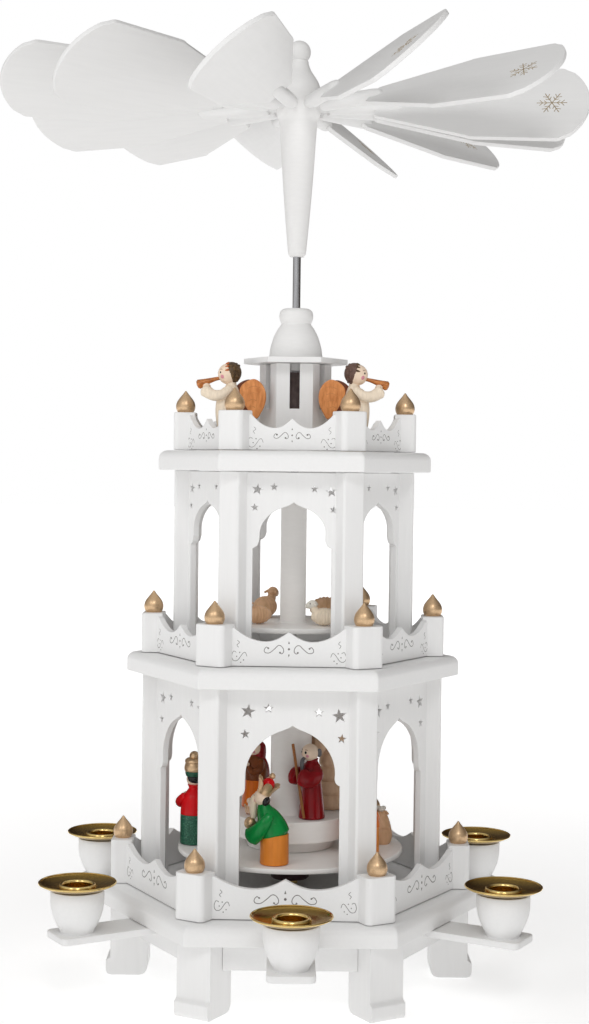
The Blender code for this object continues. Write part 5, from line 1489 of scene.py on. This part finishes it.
def angel(name, azimuth, radius, facing, hair, tone):
    """Angel who blows a horn, with two wings on the back."""
    piece = Piece(name + "_figure", spot(radius, azimuth, TOP_FLOOR + GAP, facing))
    robe = [
        (7.6, 0.0), (8.1, 0.5), (7.9, 4.0), (7.2, 12.0), (6.4, 20.0), (6.1, 26.0), (6.1, 31.0), (5.6, 36.0),
        (4.4, 39.6), (3.4, 41.6), (3.2, 43.2),
    ]
    piece.add(turned(robe), CREAM)
    centre = (1.9, 0.0, 48.6)
    near = 1 if facing else -1
    head(piece, centre, ANGEL_HEAD, look=20 * near)
    angel_hair(piece, centre, near, hair, tone)
    belly = [(2.4, 0, 38.0), (3.8, 0, 31.0), (3.6, 0, 22.0), (1.0, 0, 8.0)]
    piece.add(tube(belly, (4.0, 5.6, 6.2, 6.4), 36, 5), CREAM)
    horn = [(7.4, 0, 45.8), (11.0, 0, 45.0), (16.0, 0, 43.4), (20.6, 0, 41.8)]
    piece.add(tube(horn, (1.1, 1.35, 2.1, 3.1), 24, 5), HORN)
    arm = [(0.6, 4.6, 39.0), (5.6, 6.6, 35.2), (11.4, 5.8, 35.0), (16.4, 3.6, 37.8)]
    sleeve(piece, arm, (2.8, 3.2, 3.4, 4.0), CREAM, 0.95)
    for mirror in (-1, 1):
        piece.beads(FLESH, (2.2, 15.6, 1.8 * mirror, 40.4, (1.1, 0.8, 1.0)))
        # The far wing takes the darker copy of the wing colour: painted shade.
        if mirror == near:
            wing(piece, mirror, -14.0, WING)
        else:
            wing(piece, mirror, -10.6, WING_SHADED)
    piece.finish("tower", "cream_paint", name)


# Put together

def build():
    """Every piece of the pyramid."""
    plate("base_plate", BASE_RADIUS, 0.0, BASE_TURN)
    plate("middle_plate", MIDDLE_RADIUS, 12.0)
    plate("top_plate", TOP_RADIUS, 12.0)
    legs()
    candle_holders()
    gallery("base_gallery", 108.5, 28.0, 20.8, 18.4, 1.0, 38.3, 12.9, 1.0)
    gallery("middle_gallery", 90.0, 25.3, 20.8, 15.0, 0.8, 30.4, 10.7, 0.85)
    gallery("top_gallery", 70.6, 24.2, 17.8, 13.6, 0.6, 22.8, 9.2, 0.65)
    arcade("lower_arcade", 88.7, 27.0, 113.7, 29.6, 3.1, LOWER_STARS, 3.3, (5.4, -1.8))
    arcade("upper_arcade", 69.3, 20.0, 98.6, 19.2, 4.1, UPPER_STARS, 1.7, (0.0, 0.0))
    dome()
    axle()
    pivot()
    hub()
    blades()
    lower_disc()
    raised_stage()
    upper_stage()
    green_king()
    red_king()
    orange_king()
    joseph()
    mary()
    crib()
    palm()
    flock()
    angel("angel_left", -70, 43.0, 180, HAIR, LOCK)
    angel("angel_right", 65, 41.5, 0, HAIR_MAUVE, HAIR)
    dress("base_apron", WHITE, 0.6)
    dress("turret", WHITE_UPRIGHT, 0.5)
    dress("turret_roof", WHITE, 0.5)
    dress("upper_bush", BRASS_BRIGHT)


build()


# Studio

FLOOR_TONES = [(0.3, (0.78, 0.78, 0.78)), (0.7, (0.8, 0.8, 0.8))]
FLOOR_REACH = 12.0
# Distance from the axis in metres, and the floor's glow there
GLOW_NEAR = (0.25, 0.5)
GLOW_FAR = (1.6, 0.95)
LIGHT_SIDE = (-0.42, -0.66, 0.62)
LIGHT_TONES = [(0.28, (0.06, 0.045, 0.036)), (0.62, (0.46, 0.45, 0.44)), (1.0, (1.0, 1.0, 1.0))]
WORLD_STRENGTH = 0.73
LAMP_SIZE = 0.6
# Name, place in metres and power of each lamp
LAMPS = (("key", (-1.0, -1.35, 1.35), 3.0), ("fill", (0.15, -1.6, 1.55), 6.0))


def studio_floor():
    """Pale floor that glows a little more away from the piece, as on the photograph."""
    material, tree, shader, where = new_material("studio_floor")
    tone = noise(tree, where, 3.0, 2.0)
    tree.links.new(ramp(tree, tone, FLOOR_TONES), shader.inputs["Base Color"])
    shader.inputs["Roughness"].default_value = 0.9
    shader.inputs["Emission Color"].default_value = (1.0, 1.0, 1.0, 1.0)
    distance = add_node(tree, "VectorMath", {}, 0, where)
    distance.operation = "LENGTH"
    glow = span(tree, distance.outputs["Value"], GLOW_NEAR[1], GLOW_FAR[1], GLOW_NEAR[0], GLOW_FAR[0])
    tree.links.new(glow, shader.inputs["Emission Strength"])
    mesh = bpy.data.meshes.new("floor")
    corners = [(x * FLOOR_REACH, y * FLOOR_REACH, 0) for x, y in ((-1, -1), (1, -1), (1, 1), (-1, 1))]
    mesh.from_pydata(corners, [], [(0, 1, 2, 3)])
    mesh.materials.append(material)
    floor = bpy.data.objects.new("floor", mesh)
    bpy.context.scene.collection.objects.link(floor)
    floor.location.z = -GAP * TO_METRES


def soft_light():
    """Soft light from the left, front and above, and a white background for the camera."""
    world = bpy.data.worlds.new("studio")
    world.use_nodes = True
    tree = world.node_tree
    soft = tree.nodes["Background"]
    white = add_node(tree, "Background", {"Color": (1.0, 1.0, 1.0, 1.0)})
    direction = tree.nodes.new("ShaderNodeTexCoord").outputs["Generated"]
    facing = add_node(tree, "VectorMath", {1: Vector(LIGHT_SIDE).normalized()}, 0, direction)
    facing.operation = "DOT_PRODUCT"
    level = span(tree, facing.outputs["Value"], 0.0, 1.0, -1.0, 1.0)
    tree.links.new(ramp(tree, level, LIGHT_TONES), soft.inputs["Color"])
    soft.inputs["Strength"].default_value = WORLD_STRENGTH
    seen = tree.nodes.new("ShaderNodeLightPath").outputs["Is Camera Ray"]
    mix = add_node(tree, "MixShader", {}, "Fac", seen)
    tree.links.new(soft.outputs["Background"], mix.inputs[1])
    tree.links.new(white.outputs["Background"], mix.inputs[2])
    tree.links.new(mix.outputs["Shader"], tree.nodes["World Output"].inputs["Surface"])
    bpy.context.scene.world = world


def lamps():
    """Two round lamps that aim at the middle of the pyramid."""
    for name, place, power in LAMPS:
        lamp = bpy.data.lights.new(name, "AREA")
        lamp.shape = "DISK"
        lamp.size = LAMP_SIZE
        lamp.energy = power
        holder = bpy.data.objects.new(name, lamp)
        holder.location = place
        aim = Vector((0.0, 0.0, 0.3)) - Vector(place)
        holder.rotation_mode = "QUATERNION"
        holder.rotation_quaternion = aim.to_track_quat("-Z", "Y")
        bpy.context.scene.collection.objects.link(holder)


# Pixels of the photograph, and the camera's place in metres
PHOTO_WIDTH = 589
PHOTO_HEIGHT = 1024
FOCAL_PIXELS = 1749.5
LENS_AXIS = (293.92, 511.26)
CAMERA_PLACE = (0.0296, -1.1271, 0.3291)
CAMERA_AIM = (-0.0263, 0.9993, -0.0269)
CAMERA_ROLL = 0.665
SENSOR = 36.0


def camera():
    """The photograph's camera, fitted to the hexagonal plates."""
    forward = Vector(CAMERA_AIM).normalized()
    right = forward.cross(Vector((0, 0, 1))).normalized()
    up = right.cross(forward)
    roll = math.radians(CAMERA_ROLL)
    across = right * math.cos(roll) + up * math.sin(roll)
    above = up * math.cos(roll) - right * math.sin(roll)
    data = bpy.data.cameras.new("photo_camera")
    data.sensor_fit = "VERTICAL"
    data.sensor_height = SENSOR
    data.lens = FOCAL_PIXELS / PHOTO_HEIGHT * SENSOR
    data.shift_x = (PHOTO_WIDTH / 2 - LENS_AXIS[0]) / PHOTO_HEIGHT
    data.shift_y = -(PHOTO_HEIGHT / 2 - LENS_AXIS[1]) / PHOTO_HEIGHT
    holder = bpy.data.objects.new("photo_camera", data)
    matrix = Matrix((across, above, -forward)).transposed().to_4x4()
    matrix.translation = Vector(CAMERA_PLACE)
    holder.matrix_world = matrix
    bpy.context.scene.collection.objects.link(holder)
    bpy.context.scene.camera = holder


bpy.context.scene.view_settings.view_transform = "Standard"
studio_floor()
soft_light()
lamps()
camera()
